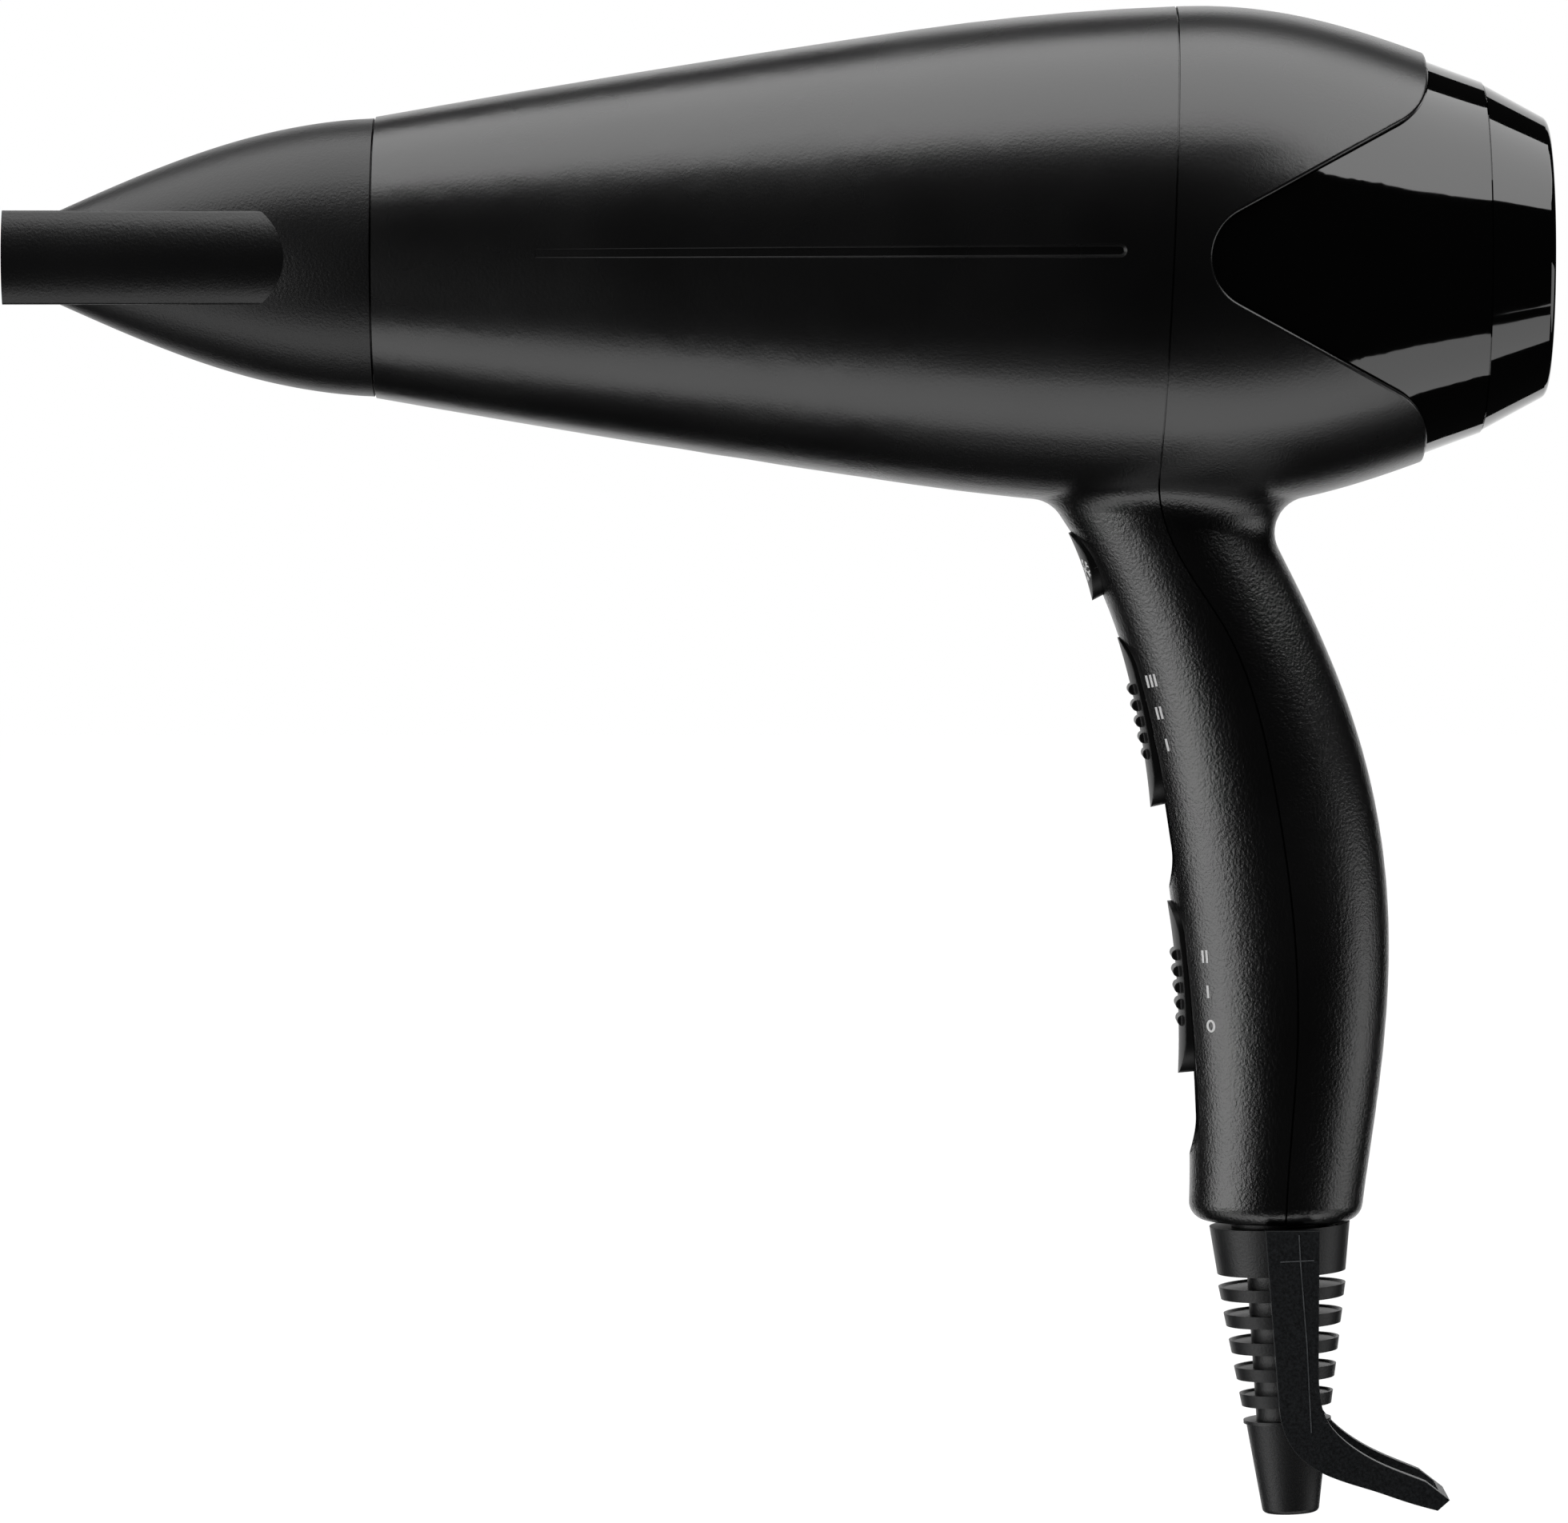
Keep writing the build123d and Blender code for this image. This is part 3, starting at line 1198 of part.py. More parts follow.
def build_parts():
    """Every piece of the dryer by name."""
    outer, hollow = outer_body(), cavity()
    return {
        "front_housing": front_housing(outer, hollow),
        "rear_housing": rear_housing(outer, hollow),
        "intake_shroud": intake_shroud(),
        "filter_cap": filter_cap(),
        "filter_mesh": filter_mesh(),
        "concentrator_nozzle": concentrator_nozzle(),
        "outlet_grille": outlet_grille(),
        "heat_liner": heat_liner(),
        "upright_board": upright_board(),
        "level_board": level_board(),
        "heater_winding": heater_winding(),
        "thermostat": thermostat(),
        "thermal_fuse": thermal_fuse(),
        "fan_duct": fan_duct(),
        "duct_screws": duct_screws(),
        "motor_cushion": motor_cushion(),
        "motor_can": motor_can(),
        "motor_end_bell": motor_end_bell(),
        "shaft_bushes": shaft_bushes(),
        "rectifier_board": rectifier_board(),
        "motor_shaft": motor_shaft(),
        "impeller": impeller(),
        "heat_knob": knob(HEAT_PLACE),
        "heat_shutter": shutter(HEAT_PLACE),
        "heat_switch": slide_switch(HEAT_PLACE),
        "speed_knob": knob(SPEED_PLACE),
        "speed_shutter": shutter(SPEED_PLACE),
        "speed_switch": slide_switch(SPEED_PLACE),
        "cool_button": cool_button(),
        "cool_plunger": cool_plunger(),
        "cool_switch": cool_switch(),
        "cord_boot": cord_boot(),
        "hang_loop": hang_loop(),
        "cord_clamp": cord_clamp(),
        "clamp_screws": clamp_screws(),
    }


os.makedirs("parts", exist_ok=True)
for name, shape in build_parts().items():
    export_step(shape, os.path.join("parts", name + ".step"))
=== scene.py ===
"""Looks of the hair dryer: finishes, printed marks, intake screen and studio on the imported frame."""

from __future__ import annotations

import json
import logging
import math
from collections.abc import Callable
from dataclasses import dataclass, field
from enum import Enum

import bpy
from mathutils import Matrix, Vector

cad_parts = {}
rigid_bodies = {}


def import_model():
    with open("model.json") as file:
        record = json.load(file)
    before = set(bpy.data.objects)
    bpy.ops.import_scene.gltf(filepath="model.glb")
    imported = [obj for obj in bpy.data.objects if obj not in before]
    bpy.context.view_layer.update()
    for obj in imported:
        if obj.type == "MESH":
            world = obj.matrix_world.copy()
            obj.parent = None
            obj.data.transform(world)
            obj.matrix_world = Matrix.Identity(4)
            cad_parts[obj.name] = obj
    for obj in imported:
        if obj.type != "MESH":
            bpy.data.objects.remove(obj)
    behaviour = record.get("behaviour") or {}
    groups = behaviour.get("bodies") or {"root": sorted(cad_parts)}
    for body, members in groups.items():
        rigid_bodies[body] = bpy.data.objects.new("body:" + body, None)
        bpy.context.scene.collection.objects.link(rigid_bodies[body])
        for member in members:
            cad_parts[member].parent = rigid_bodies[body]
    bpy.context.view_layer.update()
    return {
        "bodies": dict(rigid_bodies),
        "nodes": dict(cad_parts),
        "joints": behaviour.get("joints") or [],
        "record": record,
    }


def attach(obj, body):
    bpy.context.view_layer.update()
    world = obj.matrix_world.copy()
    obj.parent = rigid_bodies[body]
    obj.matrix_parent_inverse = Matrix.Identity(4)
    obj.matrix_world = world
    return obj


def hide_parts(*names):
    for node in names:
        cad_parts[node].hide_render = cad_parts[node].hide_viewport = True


LOG = logging.getLogger("hair_dryer")
Tone = tuple[float, float, float]
Pair = tuple[float, float]

MM = 0.001
WHITE = (1.0, 1.0, 1.0, 1.0)

# The grip's grain fades out between these heights, where the neck runs into the barrel.
NECK_LOW = 70 * MM
NECK_HIGH = 82 * MM

# Most values of a noise lie between these two.
NOISE_LOW = 0.3
NOISE_HIGH = 0.7
NOISE_ROUGHNESS = 0.55

# Places on the side are given in points of the side view, which is 1960 points wide and 1904 high.
VIEW_PITCH = 0.145 * MM
VIEW_ORIGIN = (1594, 1100)
HEAT_MARKS = ((1434, 848), (1444, 888), (1454, 928))
HEAT_LEAN = 14.0
SPEED_MARKS = ((1501, 1192), (1505, 1236), (1509, 1279))
SPEED_LEAN = 5.0
# Points of the raised mould lines on the loop. Their pale colour is a painted highlight.
LOOP_CREASE = ((1618, 1538), (1620, 1572), (1629, 1680), (1635, 1788))
LOOP_STEP = ((1595, 1572), (1637, 1570))

# Flat pieces are drawn this far to the side and then pressed onto the object.
STAND_OFF = 60 * MM


class Body(Enum):
    """The moving groups that a piece can ride on."""

    HOUSING = "housing"
    CAP = "cap"
    COOL_SHOT = "cool_shot"


class Glyph(Enum):
    """Printed signs beside the sliders, as the number of strokes; OFF is a ring."""

    OFF = 0
    ONE = 1
    TWO = 2
    THREE = 3


class Graph:
    """A material's node tree with short calls to add and join nodes."""

    def __init__(self, name: str) -> None:
        """Start an empty material with a principled surface.

        Args:
            name: Name of the material.
        """
        self.material = bpy.data.materials.new(name)
        self.material.use_nodes = True
        self.tree = self.material.node_tree
        self.surface = self.tree.nodes["Principled BSDF"]
        self.place = self.tree.nodes.new("ShaderNodeTexCoord")

    def add(self, kind: str, values: dict[str, object]) -> bpy.types.Node:
        """Add a node and set its sockets.

        Args:
            kind: Blender's name of the node type.
            values: Socket names with their constant values.

        Returns:
            The new node.
        """
        node = self.tree.nodes.new(kind)
        for socket, value in values.items():
            node.inputs[socket].default_value = value
        return node

    def join(self, source: bpy.types.Node, out: str, target: bpy.types.Node, into: str) -> None:
        """Link one node's output to another's input.

        Args:
            source: Node that gives the value.
            out: Name of its output socket.
            target: Node that takes the value.
            into: Name of its input socket.
        """
        self.tree.links.new(source.outputs[out], target.inputs[into])

    def noise(self, size: float, detail: float = 2.0, stretch: Tone = (1.0, 1.0, 1.0)) -> bpy.types.Node:
        """Add noise on object coordinates.

        Args:
            size: Size of one patch, in metres.
            detail: Octaves of finer noise.
            stretch: Scale of the coordinates along X, Y and Z.

        Returns:
            The noise node.
        """
        mapping = self.add("ShaderNodeMapping", {"Scale": stretch})
        noise = self.add("ShaderNodeTexNoise", {"Scale": 1.0 / size, "Detail": detail,
                                                "Roughness": NOISE_ROUGHNESS})
        self.join(self.place, "Object", mapping, "Vector")
        self.join(mapping, "Vector", noise, "Vector")
        return noise

    def tint(self, driver: bpy.types.Node, out: str, dark: Tone, light: Tone) -> None:
        """Colour the surface between two tones.

        Args:
            driver: Node whose value picks the tone.
            out: Name of its output socket.
            dark: Tone at the low end.
            light: Tone at the high end.
        """
        ramp = self.tree.nodes.new("ShaderNodeValToRGB")
        for stop, position, tone in zip(ramp.color_ramp.elements, (NOISE_LOW, NOISE_HIGH), (dark, light)):
            stop.position = position
            stop.color = (*tone, 1.0)
        self.join(driver, out, ramp, "Fac")
        self.join(ramp, "Color", self.surface, "Base Color")

    def polish(self, driver: bpy.types.Node, out: str, low: float, high: float) -> None:
        """Vary the roughness of the surface.

        Args:
            driver: Node whose value drives it.
            out: Name of its output socket.
            low: Smoothest roughness.
            high: Coarsest roughness.
        """
        spread = self.add("ShaderNodeMapRange", {"From Min": NOISE_LOW, "From Max": NOISE_HIGH,
                                                 "To Min": low, "To Max": high})
        self.join(driver, out, spread, "Value")
        self.join(spread, "Result", self.surface, "Roughness")

    def relief(self, driver: bpy.types.Node, out: str, depth: float, strength: float) -> bpy.types.Node:
        """Raise the surface by a pattern.

        Args:
            driver: Node whose value is the height.
            out: Name of its output socket.
            depth: Height of the pattern, in metres.
            strength: Share of the relief that shows.

        Returns:
            The bump node.
        """
        bump = self.add("ShaderNodeBump", {"Strength": strength, "Distance": depth})
        self.join(driver, out, bump, "Height")
        self.join(bump, "Normal", self.surface, "Normal")
        return bump

    def soften(self, bump: bpy.types.Node, radius: float) -> None:
        """Round the look of the edges under a relief.

        Args:
            bump: Bump node of the relief.
            radius: Radius of the rounding, in metres.
        """
        edges = self.add("ShaderNodeBevel", {"Radius": radius})
        self.join(edges, "Normal", bump, "Normal")

    def by_height(self, bump: bpy.types.Node, low: float, high: float, shares: Pair) -> None:
        """Let a relief change between two heights on the object.

        Args:
            bump: Bump node of the relief.
            low: Height below which the first share holds, in metres.
            high: Height above which the second share holds, in metres.
            shares: Shares of the relief that show below and above.
        """
        axes = self.tree.nodes.new("ShaderNodeSeparateXYZ")
        spread = self.add("ShaderNodeMapRange", {"From Min": low, "From Max": high,
                                                 "To Min": shares[0], "To Max": shares[1]})
        self.join(self.place, "Object", axes, "Vector")
        self.join(axes, "Z", spread, "Value")
        self.join(spread, "Result", bump, "Strength")

    def glow(self, reach: float, middle: float) -> None:
        """Let the surface glow white, a little less around its middle.

        Args:
            reach: Distance from the middle at which it is wholly white.
            middle: Share of white at the middle.
        """
        mapping = self.add("ShaderNodeMapping", {"Scale": (1 / reach, 1 / reach, 0.0)})
        spread = self.tree.nodes.new("ShaderNodeTexGradient")
        spread.gradient_type = "SPHERICAL"
        ramp = self.tree.nodes.new("ShaderNodeValToRGB")
        ramp.color_ramp.elements[0].color = WHITE
        ramp.color_ramp.elements[1].color = (middle, middle, middle, 1.0)
        self.join(self.place, "Object", mapping, "Vector")
        self.join(mapping, "Vector", spread, "Vector")
        self.join(spread, "Fac", ramp, "Fac")
        self.join(ramp, "Color", self.surface, "Emission Color")

    def fix(self, socket: str, value: float) -> None:
        """Set a constant on the surface's own socket.

        Args:
            socket: Name of the socket.
            value: Its value.
        """
        self.surface.inputs[socket].default_value = value


@dataclass(frozen=True)
class Moulding:
    """A moulded or coated plastic or rubber skin."""

    name: str
    dark: Tone
    light: Tone
    smooth: float
    coarse: float
    grain: float
    depth: float
    strength: float = 0.4
    patch: float = 30 * MM
    specular: float = 0.5
    edge: float = 0.0
    barrel_strength: float | None = None

    def material(self) -> bpy.types.Material:
        """Build the finish.

        Returns:
            The new material.
        """
        graph = Graph(self.name)
        broad = graph.noise(self.patch)
        fine = graph.noise(self.grain, detail=3.0)
        graph.tint(broad, "Fac", self.dark, self.light)
        graph.polish(broad, "Fac", self.smooth, self.coarse)
        bump = graph.relief(fine, "Fac", self.depth, self.strength)
        if self.edge:
            graph.soften(bump, self.edge)
        if self.barrel_strength is not None:
            graph.by_height(bump, NECK_LOW, NECK_HIGH, (self.strength, self.barrel_strength))
        graph.fix("Specular IOR Level", self.specular)
        return graph.material


@dataclass(frozen=True)
class Metal:
    """A drawn, turned or pressed metal."""

    name: str
    dark: Tone
    light: Tone
    smooth: float
    coarse: float
    stretch: Tone = (0.05, 1.0, 1.0)
    streak: float = 0.5 * MM
    depth: float = 0.01 * MM
    strength: float = 0.3

    def material(self) -> bpy.types.Material:
        """Build the finish.

        Returns:
            The new material.
        """
        graph = Graph(self.name)
        streaks = graph.noise(self.streak, detail=4.0, stretch=self.stretch)
        graph.tint(streaks, "Fac", self.dark, self.light)
        graph.polish(streaks, "Fac", self.smooth, self.coarse)
        graph.relief(streaks, "Fac", self.depth, self.strength)
        graph.fix("Metallic", 1.0)
        return graph.material


@dataclass(frozen=True)
class Flaked:
    """Pressed mica sheet with pale flakes."""

    name: str
    dark: Tone
    light: Tone
    smooth: float = 0.35
    coarse: float = 0.6
    flake: float = 1.6 * MM
    depth: float = 0.03 * MM
    strength: float = 0.4

    def material(self) -> bpy.types.Material:
        """Build the finish.

        Returns:
            The new material.
        """
        graph = Graph(self.name)
        cells = graph.add("ShaderNodeTexVoronoi", {"Scale": 1.0 / self.flake, "Randomness": 1.0})
        graph.join(graph.place, "Object", cells, "Vector")
        graph.tint(cells, "Distance", self.dark, self.light)
        graph.polish(cells, "Distance", self.smooth, self.coarse)
        graph.relief(cells, "Distance", self.depth, self.strength)
        return graph.material


SOFT_TOUCH = Moulding(
    "soft_touch_black", dark=(0.0016, 0.0016, 0.0017), light=(0.0026, 0.0026, 0.0028),
    smooth=0.25, coarse=0.29, grain=0.55 * MM, depth=0.16 * MM, strength=0.7, specular=1.0,
    barrel_strength=0.15)
NOZZLE_SKIN = Moulding(
    "nozzle_black", dark=(0.0032, 0.0032, 0.0034), light=(0.0046, 0.0046, 0.0049),
    smooth=0.33, coarse=0.38, grain=0.5 * MM, depth=0.1 * MM, strength=0.6, specular=0.6)
GLOSS = Moulding(
    "gloss_black", dark=(0.0006, 0.0006, 0.0006), light=(0.001, 0.001, 0.001), smooth=0.03, coarse=0.05,
    grain=6 * MM, depth=0.01 * MM, strength=0.1, specular=1.0)
SATIN = Moulding(
    "satin_black", dark=(0.002, 0.002, 0.0021), light=(0.0035, 0.0035, 0.0037), smooth=0.4, coarse=0.46,
    grain=0.4 * MM, depth=0.02 * MM, strength=0.2, specular=0.5, edge=0.4 * MM)
RUBBER = Moulding(
    "black_rubber", dark=(0.005, 0.0053, 0.0058), light=(0.009, 0.0095, 0.0104), smooth=0.4, coarse=0.5,
    grain=0.5 * MM, depth=0.1 * MM, strength=0.5, specular=0.6)
SPECKLED = Moulding(
    "speckled_rubber", dark=(0.0035, 0.004, 0.0046), light=(0.0135, 0.0155, 0.0178),
    smooth=0.4, coarse=0.5, grain=0.5 * MM, depth=0.1 * MM, strength=0.5, patch=0.5 * MM, specular=0.6,
    edge=0.25 * MM)
# Painted highlight: the raised mould lines on the loop are real, but their pale grey colour stands in for
# light catching the ridge.
MOULD_LINE_HIGHLIGHT = Moulding(
    "mould_line_painted_highlight", dark=(0.07, 0.074, 0.078), light=(0.13, 0.136, 0.142), smooth=0.4, coarse=0.5,
    grain=0.4 * MM, depth=0.02 * MM, patch=1.5 * MM)
INNER = Moulding(
    "inner_black", dark=(0.014, 0.014, 0.015), light=(0.022, 0.022, 0.023), smooth=0.45, coarse=0.55,
    grain=0.6 * MM, depth=0.03 * MM)
SWITCH = Moulding(
    "switch_body", dark=(0.45, 0.43, 0.38), light=(0.52, 0.5, 0.45), smooth=0.4, coarse=0.5,
    grain=0.6 * MM, depth=0.02 * MM)
BOARD = Moulding(
    "board_green", dark=(0.02, 0.11, 0.04), light=(0.03, 0.15, 0.06), smooth=0.3, coarse=0.4,
    grain=0.5 * MM, depth=0.02 * MM)
COATED = Moulding(
    "coated_steel", dark=(0.006, 0.006, 0.006), light=(0.011, 0.011, 0.011), smooth=0.35, coarse=0.5,
    grain=0.4 * MM, depth=0.02 * MM)
PRINT = Moulding(
    "white_print", dark=(0.84, 0.84, 0.84), light=(0.9, 0.9, 0.9), smooth=0.4, coarse=0.5,
    grain=0.12 * MM, depth=0.01 * MM)
STEEL = Metal("bright_steel", dark=(0.5, 0.5, 0.51), light=(0.64, 0.64, 0.65), smooth=0.22, coarse=0.38)
SCREEN = Metal(
    "screen_wire", dark=(0.1, 0.1, 0.1), light=(0.2, 0.2, 0.2), smooth=0.35, coarse=0.5,
    stretch=(1.0, 1.0, 1.0))
WIRE = Metal("heating_wire", dark=(0.2, 0.18, 0.16), light=(0.34, 0.31, 0.28), smooth=0.3, coarse=0.45)
BRONZE = Metal(
    "sintered_bronze", dark=(0.4, 0.25, 0.1), light=(0.55, 0.36, 0.16), smooth=0.35, coarse=0.5)
CASE = Metal("drawn_case", dark=(0.6, 0.59, 0.56), light=(0.72, 0.71, 0.68), smooth=0.25, coarse=0.4)
MICA = Flaked("mica", dark=(0.4, 0.32, 0.2), light=(0.62, 0.54, 0.38))

NODE_FINISHES: dict[Moulding | Metal | Flaked, tuple[str, ...]] = {
    SOFT_TOUCH: ("front_housing", "rear_housing"),
    NOZZLE_SKIN: ("concentrator_nozzle",),
    GLOSS: ("intake_shroud", "filter_cap"),
    SATIN: ("heat_knob", "speed_knob", "cool_button"),
    RUBBER: ("cord_boot", "motor_cushion"),
    SPECKLED: ("hang_loop",),
    INNER: ("fan_duct", "impeller", "heat_shutter", "speed_shutter", "cool_plunger", "cord_clamp",
            "motor_end_bell"),
    SWITCH: ("heat_switch", "speed_switch", "cool_switch"),
    BOARD: ("rectifier_board",),
    COATED: ("outlet_grille",),
    STEEL: ("motor_can", "motor_shaft", "duct_screws", "clamp_screws", "filter_mesh", "thermostat"),
    WIRE: ("heater_winding",),
    BRONZE: ("shaft_bushes",),
    CASE: ("thermal_fuse",),
    MICA: ("heat_liner", "upright_board", "level_board"),
}


class Bench:
    """Steps of modelling that the pieces share."""

    STRIP_CELLS = (8, 2)
    RING_CORNERS = 32
    FILM_RISE = 0.4

    @staticmethod
    def clear() -> None:
        """Leave edit mode and deselect everything."""
        if bpy.context.object and bpy.context.object.mode != "OBJECT":
            bpy.ops.object.mode_set(mode="OBJECT")
        bpy.ops.object.select_all(action="DESELECT")

    @staticmethod
    def pick(obj: bpy.types.Object, wanted: Callable[[bpy.types.MeshVertex], bool]) -> None:
        """Select some of an object's vertices, and go into edit mode on it.

        Args:
            obj: Object to work on.
            wanted: Says whether a vertex is selected.
        """
        Bench.clear()
        obj.select_set(True)
        bpy.context.view_layer.objects.active = obj
        bpy.ops.object.mode_set(mode="EDIT")
        bpy.ops.mesh.select_mode(type="VERT")
        bpy.ops.mesh.select_all(action="DESELECT")
        bpy.ops.object.mode_set(mode="OBJECT")
        for vertex in obj.data.vertices:
            vertex.select = wanted(vertex)
        bpy.ops.object.mode_set(mode="EDIT")

    @staticmethod
    def side_frame(y: float) -> Matrix:
        """Give a drawing plane beside the object.

        Args:
            y: Place of the plane; the drawing is pressed from there towards the middle.

        Returns:
            A frame with X along the barrel, Y downwards or upwards, and Z towards the object.
        """
        turn = -90.0 if y < 0 else 90.0
        return Matrix.Translation((0, y, 0)) @ Matrix.Rotation(math.radians(turn), 4, "X")

    @staticmethod
    def strip(length: float, width: float, place: Matrix) -> bpy.types.Object:
        """Add a flat subdivided strip.

        Args:
            length: Size along the strip's own X.
            width: Size along its own Y.
            place: Where the strip's middle goes, and how it lies.

        Returns:
            The new object, selected and active.
        """
        Bench.clear()
        along, across = Bench.STRIP_CELLS
        bpy.ops.mesh.primitive_grid_add(x_subdivisions=along, y_subdivisions=across, size=1.0)
        strip = bpy.context.object
        strip.matrix_world = place @ Matrix.Diagonal((length, width, 1.0, 1.0))
        bpy.ops.object.transform_apply(location=True, rotation=True, scale=True)
        return strip

    @staticmethod
    def loop(length: float, width: float, line: float, place: Matrix) -> bpy.types.Object:
        """Add a flat oval ring.

        Args:
            length: Outer size along the ring's own X.
            width: Outer size along its own Y.
            line: Width of the line.
            place: Where its middle goes, and how it lies.

        Returns:
            The new object, selected and active.
        """
        Bench.clear()
        bpy.ops.mesh.primitive_circle_add(vertices=Bench.RING_CORNERS, radius=0.5, fill_type="NGON")
        ring = bpy.context.object
        ring.matrix_world = Matrix.Diagonal((length, width, 1.0, 1.0))
        bpy.ops.object.transform_apply(scale=True)
        bpy.ops.object.mode_set(mode="EDIT")
        bpy.ops.mesh.select_all(action="SELECT")
        bpy.ops.mesh.inset(thickness=line, depth=0.0)
        bpy.ops.mesh.delete(type="FACE")
        bpy.ops.object.mode_set(mode="OBJECT")
        ring.matrix_world = place
        bpy.ops.object.transform_apply(location=True, rotation=True, scale=True)
        return ring

    @staticmethod
    def merge(parts: list[bpy.types.Object], name: str) -> bpy.types.Object:
        """Join flat parts into one object.

        Args:
            parts: Objects to join.
            name: Name of the result.

        Returns:
            The joined object, selected and active.
        """
        Bench.clear()
        for part in parts:
            part.select_set(True)
        bpy.context.view_layer.objects.active = parts[0]
        if len(parts) > 1:
            bpy.ops.object.join()
        joined = bpy.context.object
        joined.name = name
        joined.data.name = name
        return joined

    @staticmethod
    def lay_on(piece: bpy.types.Object, carrier: bpy.types.Object, frame: Matrix, film: float) -> None:
        """Press a flat piece onto a surface along its frame's Z and give it the thickness of a print.

        Args:
            piece: Flat piece, drawn in the frame's XY plane.
            carrier: Object whose surface takes it.
            frame: Frame that the piece is drawn in, with Z along the line of pressing.
            film: Thickness of the print.
        """
        Bench.clear()
        piece.select_set(True)
        bpy.context.view_layer.objects.active = piece
        piece.matrix_world = frame
        press = piece.modifiers.new("press", "SHRINKWRAP")
        press.target = carrier
        press.wrap_method = "PROJECT"
        press.use_project_z = True
        press.use_positive_direction = True
        press.use_negative_direction = False
        press.offset = film * Bench.FILM_RISE
        bpy.ops.object.modifier_apply(modifier="press")
        body = piece.modifiers.new("film", "SOLIDIFY")
        body.thickness = film
        body.offset = 0.0
        bpy.ops.object.modifier_apply(modifier="film")
        bpy.ops.object.transform_apply(location=True, rotation=True, scale=True)


def dress(obj: bpy.types.Object, material: bpy.types.Material) -> None:
    """Give an object one material.

    Args:
        obj: Object to dress.
        material: Its finish.
    """
    if not obj.material_slots:
        obj.data.materials.append(material)
    for holder in obj.material_slots:
        holder.material = material


@dataclass
class SliderScale:
    """The signs printed beside one slider, on the side of the grip."""

    name: str
    glyphs: tuple[Glyph, ...]
    places: tuple[Pair, ...]
    lean: float
    stroke: float = 2.3 * MM
    line: float = 0.37 * MM
    pitch: float = 0.68 * MM
    ring: float = 1.5 * MM
    film: float = 0.06 * MM

    def sign(self, glyph: Glyph, x: float, z: float) -> bpy.types.Object:
        """Draw one sign flat, in the plane of the side view.

        Args:
            glyph: Which sign.
            x: Its middle along the barrel.
            z: Its middle up the grip.

        Returns:
            The flat sign.
        """
        turn = Matrix.Translation((x, -z, 0)) @ Matrix.Rotation(-math.radians(90 + self.lean), 4, "Z")
        if glyph is Glyph.OFF:
            return Bench.loop(self.stroke, self.ring, self.line, turn)
        strokes = []
        for index in range(glyph.value):
            shift = (index - (glyph.value - 1) / 2) * self.pitch
            strokes.append(Bench.strip(self.stroke, self.line, turn @ Matrix.Translation((0, shift, 0))))
        return Bench.merge(strokes, self.name)

    def build(self, carrier: bpy.types.Object, material: bpy.types.Material) -> bpy.types.Object:
        """Print the signs on the grip.

        Args:
            carrier: Housing that carries them.
            material: Finish of the print.

        Returns:
            The printed signs.
        """
        signs = [self.sign(glyph, x, z) for glyph, (x, z) in zip(self.glyphs, self.places)]
        scale = Bench.merge(signs, self.name)
        Bench.lay_on(scale, carrier, Bench.side_frame(-STAND_OFF), self.film)
        dress(scale, material)
        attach(scale, Body.HOUSING.value)
        return scale


@dataclass
class SnowSign:
    """The six-armed sign printed on the face of the cold-air button."""

    name: str = "cold_air_sign"
    place: Vector = field(default_factory=lambda: Vector((-0.034617, -0.0028, 0.0566)))
    inward: Vector = field(default_factory=lambda: Vector((0.88562, 0.0, 0.464411)))
    down: Vector = field(default_factory=lambda: Vector((0.464411, 0.0, -0.88562)))
    arms: int = 6
    arm: float = 2.1 * MM
    barb: float = 0.85 * MM
    barb_share: float = 0.6
    barb_angle: float = 45.0
    line: float = 0.32 * MM
    stretch: float = 1.35
    film: float = 0.05 * MM
    stand_off: float = 8 * MM

    def frame(self) -> Matrix:
        """Give the drawing plane in front of the button.

        Returns:
            A frame with X down the button, Y across it and Z into its face.
        """
        across = self.inward.cross(self.down)
        turn = Matrix((self.down, across, self.inward)).transposed().to_4x4()
        return Matrix.Translation(self.place - self.inward * self.stand_off) @ turn

    def build(self, carrier: bpy.types.Object, material: bpy.types.Material) -> bpy.types.Object:
        """Print the sign on the button.

        Args:
            carrier: Button that carries it.
            material: Finish of the print.

        Returns:
            The printed sign.
        """
        strips = []
        wide = Matrix.Diagonal((1.0, self.stretch, 1.0, 1.0))
        for index in range(self.arms):
            spoke = wide @ Matrix.Rotation(math.radians(360 / self.arms * index), 4, "Z")
            outward = Matrix.Translation((self.arm / 2, 0, 0))
            strips.append(Bench.strip(self.arm, self.line, spoke @ outward))
            for side in (1, -1):
                turn = Matrix.Rotation(math.radians(self.barb_angle * side), 4, "Z")
                fork = Matrix.Translation((self.arm * self.barb_share, 0, 0)) @ turn
                reach = Matrix.Translation((self.barb / 2, 0, 0))
                strips.append(Bench.strip(self.barb, self.line, spoke @ fork @ reach))
        sign = Bench.merge(strips, self.name)
        Bench.lay_on(sign, carrier, self.frame(), self.film)
        dress(sign, material)
        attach(sign, Body.COOL_SHOT.value)
        return sign


